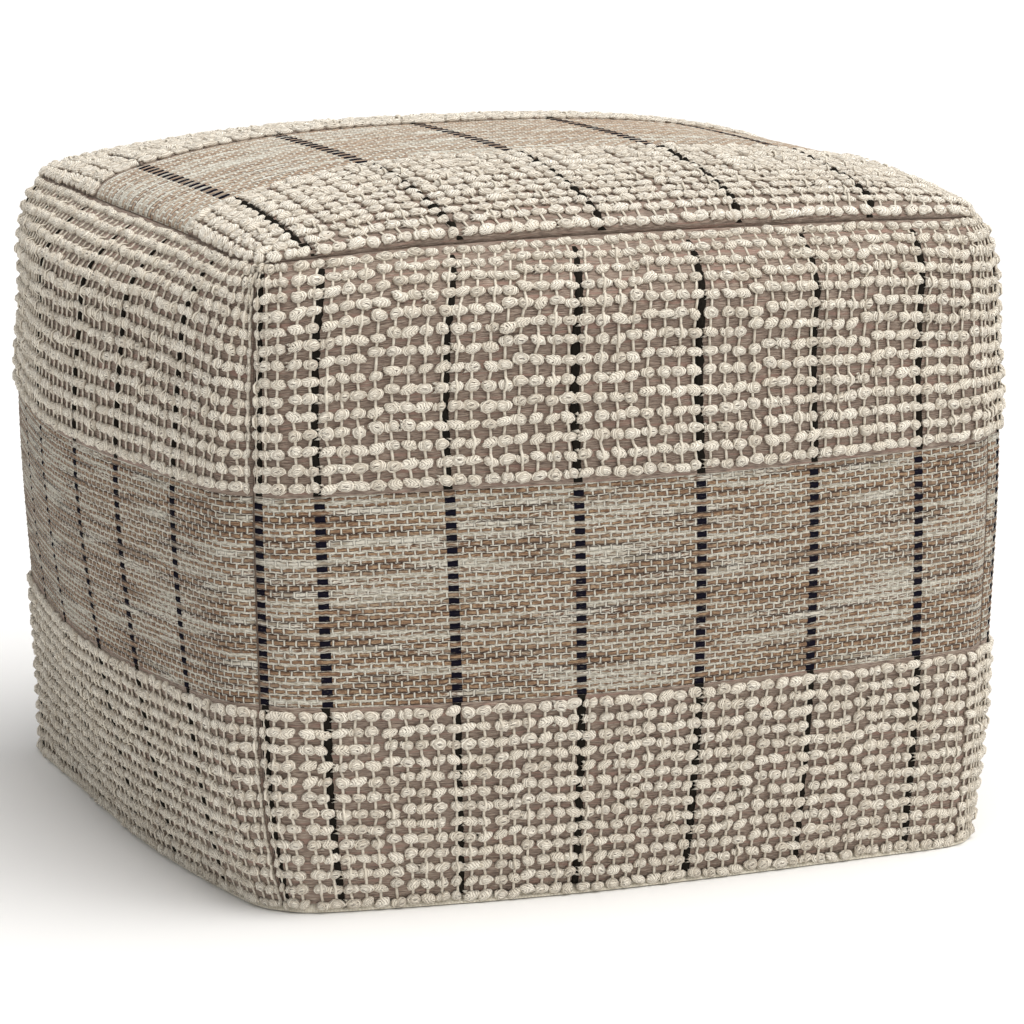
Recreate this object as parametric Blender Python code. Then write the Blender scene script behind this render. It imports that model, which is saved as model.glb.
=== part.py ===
"""Cube pouf stool: six sewn panels drawn tight round a full stuffing.

Four side panels meet at the corner seams, a crowned top panel closes the top and a plain base
panel closes the bottom. Each solid is one panel with its share of the stuffing behind it: the
side panels reach in to the middle of the pouf between two diagonal planes, the top panel is the
crown above its seam, and the base panel is a thin flat slab that the pouf stands on.

The cloth has bobbled bands and flat woven bands. Each row of bobbles is a rib that runs along
its panel, and the flat bands lie a little deeper. The pouf's sides swell between the corner
seams, draw in to the base, and turn in sharply to the seam round the top.

Metres, +Z up. The origin is the middle of the underside. The front panel faces -Y.
"""
import math

import bmesh
import bpy
import numpy as np

# Seams and heights.
GAP = 0.0003
BASE_TOP = 0.0050
TOP_SEAM = 0.3250
CROWN_RISE = 0.0330
LOWEST = 0.0

# Form of the sides. half: half the width at the corners' flats. square: the exponent of the
# rounded square, larger is sharper. swell: how far the middle of a panel stands out further.
SIDE_FORM = (
    # height, half, square, swell
    (0.0000, 0.1980, 18.0, 0.0070),
    (0.0500, 0.2035, 15.0, 0.0130),
    (0.1055, 0.2072, 12.5, 0.0195),
    (0.2130, 0.2095, 12.0, 0.0280),
    (0.2700, 0.2080, 11.5, 0.0270),
    (0.3050, 0.2062, 12.0, 0.0220),
    (0.3175, 0.2016, 16.0, 0.0130),
    (0.3250, 0.1955, 21.0, 0.0070),
)
HEIGHT, HALF, SQUARE, SWELL = range(4)

# Corners that sit unevenly on the floor, as signs of x and y: how far out each one stands at the
# base. The unevenness fades out up to EVEN_HEIGHT.
UNEVEN_CORNERS = (
    # x sign, y sign, out
    (-1.0, -1.0, -0.0140),
    (-1.0, 1.0, 0.0080),
)
EVEN_HEIGHT = 0.0900
UNEVEN_REACH = 0.2000

# Cloth relief, measured out from the form above.
RIB_PEAK = 0.0015
RIB_VALLEY = -0.0010
FLAT_LEVEL = -0.0020
CORNER_PULL = 0.0020
CORNER_PULL_WIDTH = 0.05

# Bands of the side panels, from the base seam up: from, to, ribs. No ribs is a flat band.
SIDE_BANDS = (
    (0.0055, 0.1055, 13),
    (0.1055, 0.2130, 0),
    (0.2130, 0.3235, 13),
)
FLAT_STEPS = 6
# A flat band's first and last lines stand in from its ribs by this share of one step.
FLAT_END_SHARE = 0.125

# Bands of the top panel, as shares of the way from the front seam (-1) to the back seam (1).
TOP_BANDS = (
    (-0.985, -0.510, 12),
    (-0.510, 0.300, 0),
    (0.300, 0.985, 17),
)
TOP_RIM = (-1.0, -0.997)
CROWN_FULLNESS = 3.1
CROWN_SHOULDER = 0.55
# The ribs reach their full relief at this share of the crown's rise over the seam.
FULL_RELIEF_RISE = 1.0 / 3.0

COLUMNS = 12
BASE_EDGE_INSET = 0.0025
BASE_EDGE_RISE = 0.0020
SHARP_DEGREES = 50.0

BOBBLE_CREAM = (0.74, 0.67, 0.55, 1.0)
BASE_CREAM = (0.80, 0.76, 0.66, 1.0)
CLOTH_ROUGHNESS = 0.9

# Quarter turns of the side panels about +Z, from the front panel's place.
SIDE_PANELS = (
    ("front_panel", 0),
    ("right_panel", 1),
    ("back_panel", 2),
    ("left_panel", 3),
)


def clear_scene():
    """Remove every object that is already in the scene."""
    for thing in list(bpy.data.objects):
        bpy.data.objects.remove(thing, do_unlink=True)


def cloth_material(name, colour):
    """Make one cloth material."""
    material = bpy.data.materials.new(name)
    material.use_nodes = True
    shader = material.node_tree.nodes["Principled BSDF"]
    shader.inputs["Base Color"].default_value = colour
    shader.inputs["Roughness"].default_value = CLOTH_ROUGHNESS
    shader.inputs["Metallic"].default_value = 0.0
    return material


def form_at(height, column):
    """Read one column of SIDE_FORM at a height, on a smooth curve through its rows."""
    rows = np.array(SIDE_FORM)
    at = rows[:, HEIGHT]
    values = rows[:, column]
    slopes = np.gradient(values, at)
    i = int(np.clip(np.searchsorted(at, height) - 1, 0, len(at) - 2))
    span = at[i + 1] - at[i]
    s = (height - at[i]) / span
    rise = (3.0 - 2.0 * s) * s * s
    start_pull = s * (1.0 - s) ** 2 * span * slopes[i]
    end_pull = -s * s * (1.0 - s) * span * slopes[i + 1]
    return values[i] + (values[i + 1] - values[i]) * rise + start_pull + end_pull


def column_shares():
    """Give the places of the columns along a panel, -1 to 1, closer towards the corners."""
    steps = np.linspace(-1.0, 1.0, COLUMNS + 1)
    return np.sin(steps * math.pi / 2.0)


def panel_line(height, relief, shares):
    """Give the outline of one side panel at a height: distances along and out from the middle.

    The outline is a quarter of a rounded square, from one diagonal to the next, with the
    panel's swell added between the corners. The relief and the corner seam's pull move it
    along its own rays, so both ends stay on the diagonals.
    """
    half = form_at(height, HALF)
    power = form_at(height, SQUARE)
    turn = shares * math.pi / 4.0
    ray = (np.cos(turn) ** power + np.abs(np.sin(turn)) ** power) ** (-1.0 / power)
    swell = form_at(height, SWELL) * (1.0 - shares ** 2)
    pull = CORNER_PULL * np.exp(-((1.0 - np.abs(shares)) / CORNER_PULL_WIDTH) ** 2)
    reach = half * ray + swell + relief - pull
    return reach * np.sin(turn), reach * np.cos(turn)


def settled(x, y, height):
    """Move a point at a height by the corners that sit unevenly, along their diagonals."""
    fade = max(1.0 - height / EVEN_HEIGHT, 0.0) ** 2
    for x_sign, y_sign, out in UNEVEN_CORNERS:
        nearness = max(x * x_sign / UNEVEN_REACH, 0.0) * max(y * y_sign / UNEVEN_REACH, 0.0)
        shift = out * fade * nearness ** 2
        x += x_sign * shift
        y += y_sign * shift
    return (x, y, height)


def turned(x, y, quarter_turns):
    """Turn a point by quarter turns about +Z."""
    for _ in range(quarter_turns):
        x, y = -y, x
    return x, y


def band_lines(bands, flat_steps):
    """List the lines across a panel as (place, relief): a valley and a peak for each rib."""
    lines = []
    for start, end, ribs in bands:
        if ribs:
            pitch = (end - start) / ribs
            for rib in range(ribs):
                lines.append((start + rib * pitch, RIB_VALLEY))
                lines.append((start + (rib + 0.5) * pitch, RIB_PEAK))
            lines.append((end, RIB_VALLEY))
        else:
            inset = (end - start) / flat_steps * FLAT_END_SHARE
            for place in np.linspace(start + inset, end - inset, flat_steps + 1):
                lines.append((float(place), FLAT_LEVEL))
    return lines


def make_object(name, mesh_data, material):
    """Fill a mesh, share it with a new object and shade its soft faces smooth."""
    mesh = bpy.data.meshes.new(name)
    mesh_data.to_mesh(mesh)
    mesh_data.free()
    mesh.materials.append(material)
    mesh.shade_smooth()
    mesh.set_sharp_from_angle(angle=math.radians(SHARP_DEGREES))
    panel = bpy.data.objects.new(name, mesh)
    bpy.context.scene.collection.objects.link(panel)
    return panel


def skin_rows(mesh_data, rows):
    """Join neighbouring rows of points with quads."""
    for lower, upper in zip(rows, rows[1:]):
        for i in range(len(lower) - 1):
            mesh_data.faces.new((lower[i], lower[i + 1], upper[i + 1], upper[i]))


def side_heights():
    """List the side panel's lines as (height, relief), with its seam lines at both ends."""
    lowest = BASE_TOP + GAP / 2.0
    highest = TOP_SEAM - GAP / 2.0
    return [(lowest, RIB_VALLEY)] + band_lines(SIDE_BANDS, FLAT_STEPS)[1:] + [(highest, RIB_VALLEY)]


def side_panel(name, quarter_turns, material):
    """Build one side panel: its outer cloth, its mitred sides and its two flat seam faces."""
    mesh_data = bmesh.new()
    shares = column_shares()
    apart = GAP / math.sqrt(2.0)
    rows = []
    for height, relief in side_heights():
        along, out = panel_line(height, relief, shares)
        places = [turned(x, -(y + apart), quarter_turns) for x, y in zip(along, out)]
        rows.append([mesh_data.verts.new(settled(x, y, height)) for x, y in places])
    skin_rows(mesh_data, rows)
    tip = turned(0.0, -apart, quarter_turns)
    low_tip = mesh_data.verts.new((*tip, rows[0][0].co.z))
    high_tip = mesh_data.verts.new((*tip, rows[-1][0].co.z))
    mesh_data.faces.new([low_tip] + list(reversed(rows[0])))
    mesh_data.faces.new([high_tip] + rows[-1])
    mesh_data.faces.new([high_tip, low_tip] + [row[0] for row in rows])
    mesh_data.faces.new([low_tip, high_tip] + [row[-1] for row in reversed(rows)])
    bmesh.ops.recalc_face_normals(mesh_data, faces=mesh_data.faces)
    return make_object(name, mesh_data, material)


def crown_height(u, v):
    """Give the crown's height over the top seam at shares u and v of the way to the seams."""
    across = (1.0 - np.abs(u) ** CROWN_FULLNESS) ** CROWN_SHOULDER
    along = (1.0 - abs(v) ** CROWN_FULLNESS) ** CROWN_SHOULDER
    return CROWN_RISE * across * along


def top_line(v, shares):
    """Give the plan of the top panel's line at share v, blended between its four seam lines."""
    seam_along, seam_out = panel_line(TOP_SEAM, RIB_VALLEY, shares)
    here_along, here_out = panel_line(TOP_SEAM, RIB_VALLEY, np.array([v]))
    corner = seam_out[-1]
    x = seam_along + shares * (here_out[0] - corner)
    y = here_along[0] + v * (seam_out - corner)
    return x, y


def top_panel(material):
    """Build the crowned top panel, its ribs running from side to side, on a flat seam face."""
    mesh_data = bmesh.new()
    shares = column_shares()
    seam = TOP_SEAM + GAP / 2.0
    lines = [(v, 0.0) for v in TOP_RIM]
    lines += band_lines(TOP_BANDS, FLAT_STEPS)
    lines += [(-v, 0.0) for v in reversed(TOP_RIM)]
    rows = []
    for v, relief in lines:
        x, y = top_line(v, shares)
        rise = crown_height(shares, v)
        relief_share = np.minimum(rise / (CROWN_RISE * FULL_RELIEF_RISE), 1.0)
        z = seam + rise + (relief - FLAT_LEVEL) * relief_share
        rows.append([mesh_data.verts.new(point) for point in zip(x, y, z)])
    skin_rows(mesh_data, rows)
    rim = rows[0][:-1] + [row[-1] for row in rows[:-1]]
    rim += list(reversed(rows[-1][1:])) + [row[0] for row in reversed(rows[1:])]
    mesh_data.faces.new(rim)
    bmesh.ops.recalc_face_normals(mesh_data, faces=mesh_data.faces)
    return make_object("top_panel", mesh_data, material)


def base_ring(mesh_data, height, inset):
    """Add the ring of points round the pouf at a height, drawn in by an inset."""
    shares = column_shares()[:-1]
    along, out = panel_line(height, RIB_VALLEY - inset, shares)
    places = [turned(x, -y, turns) for turns in range(4) for x, y in zip(along, out)]
    return [mesh_data.verts.new(settled(x, y, height)) for x, y in places]


def base_panel(material):
    """Build the flat base panel, its edge rounded up from the surface that it stands on."""
    mesh_data = bmesh.new()
    rings = [
        base_ring(mesh_data, LOWEST, BASE_EDGE_INSET),
        base_ring(mesh_data, BASE_EDGE_RISE, 0.0),
        base_ring(mesh_data, BASE_TOP - GAP / 2.0, 0.0),
    ]
    skin_rows(mesh_data, [ring + ring[:1] for ring in rings])
    mesh_data.faces.new(list(reversed(rings[0])))
    mesh_data.faces.new(rings[-1])
    bmesh.ops.recalc_face_normals(mesh_data, faces=mesh_data.faces)
    return make_object("base_panel", mesh_data, material)


def main():
    """Build the pouf."""
    clear_scene()
    for name, quarter_turns in SIDE_PANELS:
        side_panel(name, quarter_turns, cloth_material(name + "_cloth", BOBBLE_CREAM))
    top_panel(cloth_material("top_panel_cloth", BOBBLE_CREAM))
    base_panel(cloth_material("base_panel_cloth", BASE_CREAM))


main()
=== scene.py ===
"""Looks of the cube pouf stool, built round its packed panels.

Each panel is cut from one banded cloth: bands of fat cream bobbles over a taupe ground, and flat
bands of a tan brick weave. Black warp stripes run through both. The script lays a fine cloth over
the form of every panel, then sets the bobbles, the thin floats that join them and the black warps
on it, one joined mesh of each kind a panel.

Metres, +Z up. The front panel faces -Y, and the origin is the middle of the underside.
"""

import logging
import math
from dataclasses import dataclass, field, replace
from enum import Enum
from typing import Union

import bmesh
import bpy
import numpy as np
from mathutils import Matrix


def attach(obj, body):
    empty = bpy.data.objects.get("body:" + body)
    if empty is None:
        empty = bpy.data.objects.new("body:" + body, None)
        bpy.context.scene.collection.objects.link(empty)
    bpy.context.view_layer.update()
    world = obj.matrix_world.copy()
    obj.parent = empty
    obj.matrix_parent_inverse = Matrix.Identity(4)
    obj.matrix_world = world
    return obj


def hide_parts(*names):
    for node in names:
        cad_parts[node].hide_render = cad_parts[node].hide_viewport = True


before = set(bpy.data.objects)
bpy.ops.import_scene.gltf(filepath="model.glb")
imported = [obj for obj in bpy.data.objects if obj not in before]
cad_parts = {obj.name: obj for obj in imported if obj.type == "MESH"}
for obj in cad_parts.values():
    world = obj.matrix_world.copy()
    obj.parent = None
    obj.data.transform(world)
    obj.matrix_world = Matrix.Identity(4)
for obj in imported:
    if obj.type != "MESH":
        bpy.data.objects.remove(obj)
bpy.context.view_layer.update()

logging.basicConfig(level=logging.INFO, format="%(message)s")
log = logging.getLogger("pouf")

Array = np.ndarray
Material, Tree = bpy.types.Material, bpy.types.NodeTree
Inputs, Outputs = bpy.types.NodeInputs, bpy.types.NodeOutputs
Numbers = Union[Array, float]
Colour = tuple[float, float, float, float]
Pair = tuple[float, float]
Triple = tuple[float, float, float]
MM = 0.001
BODY = "root"
# A distance in millimetres past every stripe
NO_STRIPE = 30.0


def dyed(red: int, green: int, blue: int) -> Colour:
    """Turn a colour as it looks on a screen, 0 to 255, into the linear colour a shader takes."""
    shares = [value / 255.0 for value in (red, green, blue)]
    linear = [s / 12.92 if s <= 0.04045 else ((s + 0.055) / 1.055) ** 2.4 for s in shares]
    return (linear[0], linear[1], linear[2], 1.0)


def eased(share: Array) -> Array:
    """Ease a share from 0 to 1 with flat ends: 3 s squared less 2 s cubed."""
    held = np.clip(share, 0.0, 1.0)
    return held * held * (3.0 - 2.0 * held)


def arc_to(points: Array) -> Array:
    """Give the length along a line of points (n, axes) from its start to each of them."""
    steps = np.linalg.norm(np.diff(points, axis=0), axis=1)
    return np.concatenate([[0.0], np.cumsum(steps)])


def centred_arc(points: Array) -> Array:
    """Give the length along a line of points from the middle of its length to each of them."""
    arc = arc_to(points)
    return arc - arc[-1] / 2.0


def unit(vectors: Array) -> Array:
    """Scale vectors (n, 3) to a length of 1."""
    return vectors / np.linalg.norm(vectors, axis=1, keepdims=True)


def quarter_turned(x: Numbers, y: Numbers, quarters: int) -> tuple[Numbers, Numbers]:
    """Turn places about +Z by quarter turns, counter-clockwise seen from above."""
    for _ in range(quarters):
        x, y = -y, x
    return x, y


# ---- Form of the pouf ----


@dataclass(frozen=True)
class PoufForm:
    """The stuffed form under the cloth: the same sections as the part's solids, in metres."""

    gap: float = 0.0003
    base_top: float = 0.0050
    top_seam: float = 0.3250
    crown_rise: float = 0.0330
    crown_fullness: float = 3.1
    crown_shoulder: float = 0.55
    corner_pull: float = 0.0020
    corner_pull_width: float = 0.05
    even_height: float = 0.0900
    reach: float = 0.2000
    # height, half the width, exponent of the rounded square, swell of the middle
    sections: tuple[tuple[float, float, float, float], ...] = (
        (0.0000, 0.1980, 18.0, 0.0070),
        (0.0500, 0.2035, 15.0, 0.0130),
        (0.1055, 0.2072, 12.5, 0.0195),
        (0.2130, 0.2095, 12.0, 0.0280),
        (0.2700, 0.2080, 11.5, 0.0270),
        (0.3050, 0.2062, 12.0, 0.0220),
        (0.3175, 0.2016, 16.0, 0.0130),
        (0.3250, 0.1955, 21.0, 0.0070),
    )
    # x sign, y sign, how far out the corner stands at the base
    uneven_corners: tuple[Triple, ...] = (
        (-1.0, -1.0, -0.0140),
        (-1.0, 1.0, 0.0080),
    )
    # How the cloth sits at a corner: x sign, y sign, then rows of height, rise, out
    corner_settling: tuple[tuple[float, float, tuple[Triple, ...]], ...] = (
        (-1.0, -1.0, ((0.0, 0.0, 0.0), (0.1055, 0.0035, 0.0), (0.213, -0.002, 0.0),
                      (0.325, -0.006, 0.0), (0.345, -0.002, 0.0))),
        (1.0, -1.0, ((0.213, 0.0, 0.0), (0.325, -0.002, 0.0), (0.345, 0.0, 0.0))),
        (-1.0, 1.0, ((0.213, 0.0, 0.0), (0.270, 0.0, -0.002), (0.325, 0.0, 0.0))),
    )
    # The seam bows up between its corners: height, rise
    seam_bow: tuple[Pair, ...] = ((0.250, 0.0), (0.325, 0.0026), (0.345, 0.0))

    def section(self, height: Numbers, column: int) -> Array:
        """Read a column of the sections at heights, on a cubic curve with the rows' own slopes."""
        rows = np.array(self.sections)
        at, values = rows[:, 0], rows[:, column]
        slopes = np.gradient(values, at)
        low = np.clip(np.searchsorted(at, height) - 1, 0, len(at) - 2)
        span = at[low + 1] - at[low]
        s = (height - at[low]) / span
        rise = (3.0 - 2.0 * s) * s * s
        start_pull = s * (1.0 - s) ** 2 * span * slopes[low]
        end_pull = -s * s * (1.0 - s) * span * slopes[low + 1]
        return values[low] + (values[low + 1] - values[low]) * rise + start_pull + end_pull

    def side_line(self, height: Numbers, relief: Numbers, shares: Numbers) -> tuple[Array, Array]:
        """Give one side panel's outline: a quarter of a rounded square with its swell added.

        Args:
            height: heights of the points.
            relief: how far out each point stands along its own ray.
            shares: places from one corner seam, -1, to the other, 1.

        Returns:
            The distances along the panel and out from the middle of the pouf.
        """
        half = self.section(height, 1)
        power = self.section(height, 2)
        turn = shares * math.pi / 4.0
        ray = (np.cos(turn) ** power + np.abs(np.sin(turn)) ** power) ** (-1.0 / power)
        swell = self.section(height, 3) * (1.0 - shares ** 2)
        near_seam = (1.0 - np.abs(shares)) / self.corner_pull_width
        reach = half * ray + swell + relief - self.corner_pull * np.exp(-near_seam ** 2)
        return reach * np.sin(turn), reach * np.cos(turn)

    def crown(self, u: Array, v: Array) -> Array:
        """Give the crown's height over its seam at shares u and v of the way to the seams."""
        across = (1.0 - np.clip(np.abs(u), 0.0, 1.0) ** self.crown_fullness) ** self.crown_shoulder
        along = (1.0 - np.clip(np.abs(v), 0.0, 1.0) ** self.crown_fullness) ** self.crown_shoulder
        return self.crown_rise * across * along

    def settled(self, points: Array) -> Array:
        """Move points (n, 3) as the pouf sits: uneven corners at the base, a bowed top seam."""
        x, y, z = points[..., 0].copy(), points[..., 1].copy(), points[..., 2].copy()
        fade = np.maximum(1.0 - z / self.even_height, 0.0) ** 2
        for x_sign, y_sign, out in self.uneven_corners:
            near = np.maximum(x * x_sign / self.reach, 0.0) * np.maximum(y * y_sign / self.reach, 0.0)
            shift = out * fade * near ** 2
            x += x_sign * shift
            y += y_sign * shift
        rise = np.zeros_like(z)
        for x_sign, y_sign, rows in self.corner_settling:
            heights, rises, outs = np.array(rows).T
            near = np.clip(x * x_sign / self.reach, 0.0, 1.0) * np.clip(y * y_sign / self.reach, 0.0, 1.0)
            rise += near ** 3 * np.interp(z, heights, rises)
            shift = near ** 2 * np.interp(z, heights, outs)
            x += x_sign * shift
            y += y_sign * shift
        heights, rises = np.array(self.seam_bow).T
        cornered = np.clip((x / self.reach) ** 2 * (y / self.reach) ** 2, 0.0, 1.0)
        rise += np.interp(z, heights, rises) * (1.0 - cornered)
        return np.stack([x, y, z + rise], -1)


FORM = PoufForm()


@dataclass
class Places:
    """Points on a panel with their own directions, each (n, 3), and the cloth's stretch (n)."""

    at: Array
    along: Array
    up: Array
    out: Array
    stretch: Array


class Surface:
    """A panel's surface: a point for each place across and up its cloth, in metres."""

    half_across: float
    ends: Pair
    step: float = 0.0008

    def place(self, across: Array, up: Array, relief: Numbers = 0.0) -> Array:
        """Give the points (n, 3) at places across and up the cloth."""
        raise NotImplementedError

    def places(self, across: Array, up: Array) -> Places:
        """Give points with their directions, from the differences of close neighbours."""
        right = self.place(across + self.step, up)
        left = self.place(across - self.step, up)
        over = self.place(across, up + self.step)
        under = self.place(across, up - self.step)
        stretch = np.linalg.norm(right - left, axis=1) / (2.0 * self.step)
        along = unit(right - left)
        out = unit(np.cross(along, over - under))
        return Places(self.place(across, up), along, np.cross(out, along), out, stretch)


@dataclass(frozen=True)
class Lean:
    """How the warps of a panel lean sideways, in metres: rows of height and lean."""

    rows: tuple[Pair, ...] = ((0.0, 0.0), (1.0, 0.0))
    starts: float = -1.0
    full: float = -0.5

    def at(self, across: Array, height: Array) -> Array:
        """Give the lean at places on the cloth, growing from where it starts to where it is full."""
        heights, leans = np.array(self.rows).T
        share = eased((across - self.starts) / (self.full - self.starts))
        return np.interp(height, heights, leans) * share


class SideSurface(Surface):
    """The outer face of one side panel. Across runs from -half to half, up is the height."""

    middle_height: float = 0.16
    roll_start: float = 0.2130
    corner_share: float = 0.97
    samples: int = 801
    levels: int = 81
    roll_levels: int = 121
    corner_power: int = 4
    squeeze_power: float = 8.0
    ends = (FORM.base_top + FORM.gap / 2.0, FORM.top_seam - FORM.gap / 2.0)

    def __init__(self, quarter_turns: int, lean: Lean) -> None:
        """Measure the panel's outline at all heights.

        Args:
            quarter_turns: quarter turns about +Z from the front panel's place.
            lean: how the cloth's warps lean sideways.
        """
        self.quarter_turns = quarter_turns
        self.lean = lean
        self.shares = np.linspace(-1.0, 1.0, self.samples)
        arc = self.arc_at(self.middle_height)
        self.half_across = float(arc[-1])
        self.profile = arc / arc[-1]
        self.heights = np.linspace(FORM.base_top, FORM.top_seam, self.levels)
        self.half_arcs = np.array([self.arc_at(height)[-1] for height in self.heights])
        self.rises = [self.rise_at(share) for share in (0.0, self.corner_share)]

    def rise_at(self, share: float) -> tuple[Array, Array]:
        """Give places up the cloth and their heights, where the panel rolls over to its top seam.

        The places are spread as the arc length up the panel at that share is, so that the rows
        keep their pitch on the cloth.
        """
        heights = np.linspace(self.roll_start, FORM.top_seam, self.roll_levels)
        arc = arc_to(np.stack([*FORM.side_line(heights, 0.0, share), heights], -1))
        return self.roll_start + arc / arc[-1] * (FORM.top_seam - self.roll_start), heights

    def height_of(self, across: Array, up: Array) -> Array:
        """Give the heights of places on the cloth."""
        middle, corner = (np.interp(up, places, heights) for places, heights in self.rises)
        share = np.clip(np.abs(across) / self.half_across, 0.0, 1.0) ** self.corner_power
        return np.where(up < self.roll_start, up, middle + (corner - middle) * share)

    def arc_at(self, height: float) -> Array:
        """Give the arc distance from the panel's middle to each share, at one height."""
        return centred_arc(np.stack(FORM.side_line(height, 0.0, self.shares), -1))

    def share_of(self, across: Array, height: Array) -> Array:
        """Give the share of the way to the corner seams at places across the cloth and heights.

        The cloth keeps its own width in the middle of the panel, and is squeezed towards the
        corner seams where the panel is narrower: its place is across plus what the half arc
        lacks, times a high power of the share of the way across, plus the warps' lean.
        """
        half = np.interp(height, self.heights, self.half_arcs)
        out = np.clip(across / self.half_across, -1.0, 1.0)
        edge = np.abs(out) ** self.squeeze_power
        arc = out * self.half_across + (half - self.half_across) * np.sign(out) * edge
        arc = arc + self.lean.at(out * self.half_across, height) * (1.0 - edge)
        return np.interp(arc / half, self.profile, self.shares)

    def place(self, across: Array, up: Array, relief: Numbers = 0.0) -> Array:
        """Give the points (n, 3) at places across and up the cloth, relief out from the form."""
        height = self.height_of(across, up)
        level = np.clip(height, FORM.base_top, FORM.top_seam)
        x, y = FORM.side_line(level, relief, self.share_of(across, level))
        x, y = quarter_turned(x, -(y + FORM.gap / math.sqrt(2.0)), self.quarter_turns)
        return FORM.settled(np.stack([x, y, height + 0.0 * x], -1))


class TopSurface(Surface):
    """The crowned top. Across runs along X, up runs from the front seam to the back seam."""

    samples: int = 801
    rim_relief: float = -0.0010
    fade_height: float = FORM.crown_rise / 3.0
    # The rows bow to the front over the left shoulder and to the back over the right one:
    # rows of share, left bow and right bow as shares
    row_bow: tuple[Triple, ...] = (
        (-1.0, 0.0, 0.0), (-0.5, -0.15, 0.22), (0.3, -0.05, 0.10), (1.0, 0.0, 0.0))
    bow_starts: float = 0.100
    bow_power: float = 1.7

    def __init__(self) -> None:
        """Measure the crown's arcs along both of its middle lines."""
        self.shares = np.linspace(-1.0, 1.0, self.samples)
        self.seam_along, self.seam_out = FORM.side_line(FORM.top_seam, self.rim_relief, self.shares)
        zero = np.zeros(self.samples)
        self.profile_x = self.arc_of(self.shares, zero)
        self.profile_y = self.arc_of(zero, self.shares)
        self.half_across = float(self.profile_x[-1])
        self.half_up = float(self.profile_y[-1])
        self.ends = (-self.half_up, self.half_up)

    def plain(self, u: Array, v: Array) -> Array:
        """Give the points at shares u and v, blended between the four seam lines."""
        corner = self.seam_out[-1]
        lines = (self.seam_along, self.seam_out)
        along_u, out_u = (np.interp(u, self.shares, line) for line in lines)
        along_v, out_v = (np.interp(v, self.shares, line) for line in lines)
        x = along_u + u * (out_v - corner)
        y = along_v + v * (out_u - corner)
        z = FORM.top_seam + FORM.gap / 2.0 + FORM.crown(u, v)
        return np.stack([x, y, z], -1)

    def arc_of(self, u: Array, v: Array) -> Array:
        """Give the arc distance from the middle along a line of shares."""
        return centred_arc(self.plain(u, v))

    def up_at(self, share: float) -> float:
        """Give the place up the cloth of a share of the way from the middle to the back seam."""
        return float(np.interp(share, self.shares, self.profile_y))

    def shares_of(self, across: Array, up: Array) -> tuple[Array, Array]:
        """Give the shares of places on the cloth, with the rows bowed over both shoulders."""
        u = np.interp(across, self.profile_x, self.shares)
        v = np.interp(up, self.profile_y, self.shares)
        rows, left_bows, right_bows = np.array(self.row_bow).T
        bows = np.where(across < 0.0, np.interp(v, rows, left_bows), np.interp(v, rows, right_bows))
        far = np.clip((np.abs(across) - self.bow_starts) / (self.half_across - self.bow_starts), 0.0, 1.0)
        return u, v + bows * far ** self.bow_power

    def place(self, across: Array, up: Array, relief: Numbers = 0.0) -> Array:
        """Give the points (n, 3) at places across and up the cloth, relief up from the form.

        The relief fades out within a few millimetres of the seams, where the panel ends.
        """
        u, v = self.shares_of(across, up)
        points = self.plain(u, v)
        shown = np.minimum((points[..., 2] - FORM.top_seam) / self.fade_height, 1.0)
        points[..., 2] += relief * np.maximum(shown, 0.0)
        return FORM.settled(points)


# ---- Meshes ----


@dataclass
class Patch:
    """A mesh in the making.

    points is (n, 3). faces holds one (count, corners) array for each number of corners. uv has
    a pair for each corner, in the faces' order. values are named numbers, one a point. slots
    has a material index for each face.
    """

    points: Array
    faces: list[Array]
    uv: Array
    values: dict[str, Array] = field(default_factory=dict)
    slots: Array | None = None

    def triangles(self) -> int:
        """Count the triangles that the faces make."""
        return sum(len(part) * (part.shape[1] - 2) for part in self.faces)


def fill_mesh(mesh: bpy.types.Mesh, patch: Patch) -> None:
    """Put a patch's arrays into a mesh, with its UV map, values and smooth shading."""
    corners = np.concatenate([part.ravel() for part in patch.faces]).astype(np.int32)
    sizes = np.concatenate([np.full(len(part), part.shape[1]) for part in patch.faces])
    starts = np.concatenate([[0], np.cumsum(sizes)[:-1]]).astype(np.int32)
    slots = np.zeros(len(sizes)) if patch.slots is None else patch.slots
    for items, count, name, numbers in (
            (mesh.vertices, len(patch.points), "co", patch.points.astype(np.float32).ravel()),
            (mesh.loops, len(corners), "vertex_index", corners),
            (mesh.polygons, len(sizes), "loop_start", starts)):
        items.add(count)
        items.foreach_set(name, numbers)
    mesh.polygons.foreach_set("use_smooth", np.ones(len(sizes), bool))
    mesh.polygons.foreach_set("material_index", slots.astype(np.int32))
    mesh.update(calc_edges=True)
    layer = mesh.uv_layers.new(name="Cloth")
    layer.uv.foreach_set("vector", patch.uv.astype(np.float32).ravel())
    for name, numbers in patch.values.items():
        attribute = mesh.attributes.new(name, "FLOAT", "POINT")
        attribute.data.foreach_set("value", numbers.astype(np.float32))


def new_object(name: str, data: bpy.types.ID) -> bpy.types.Object:
    """Make an object and put it in the scene."""
    made = bpy.data.objects.new(name, data)
    bpy.context.scene.collection.objects.link(made)
    return made


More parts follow.
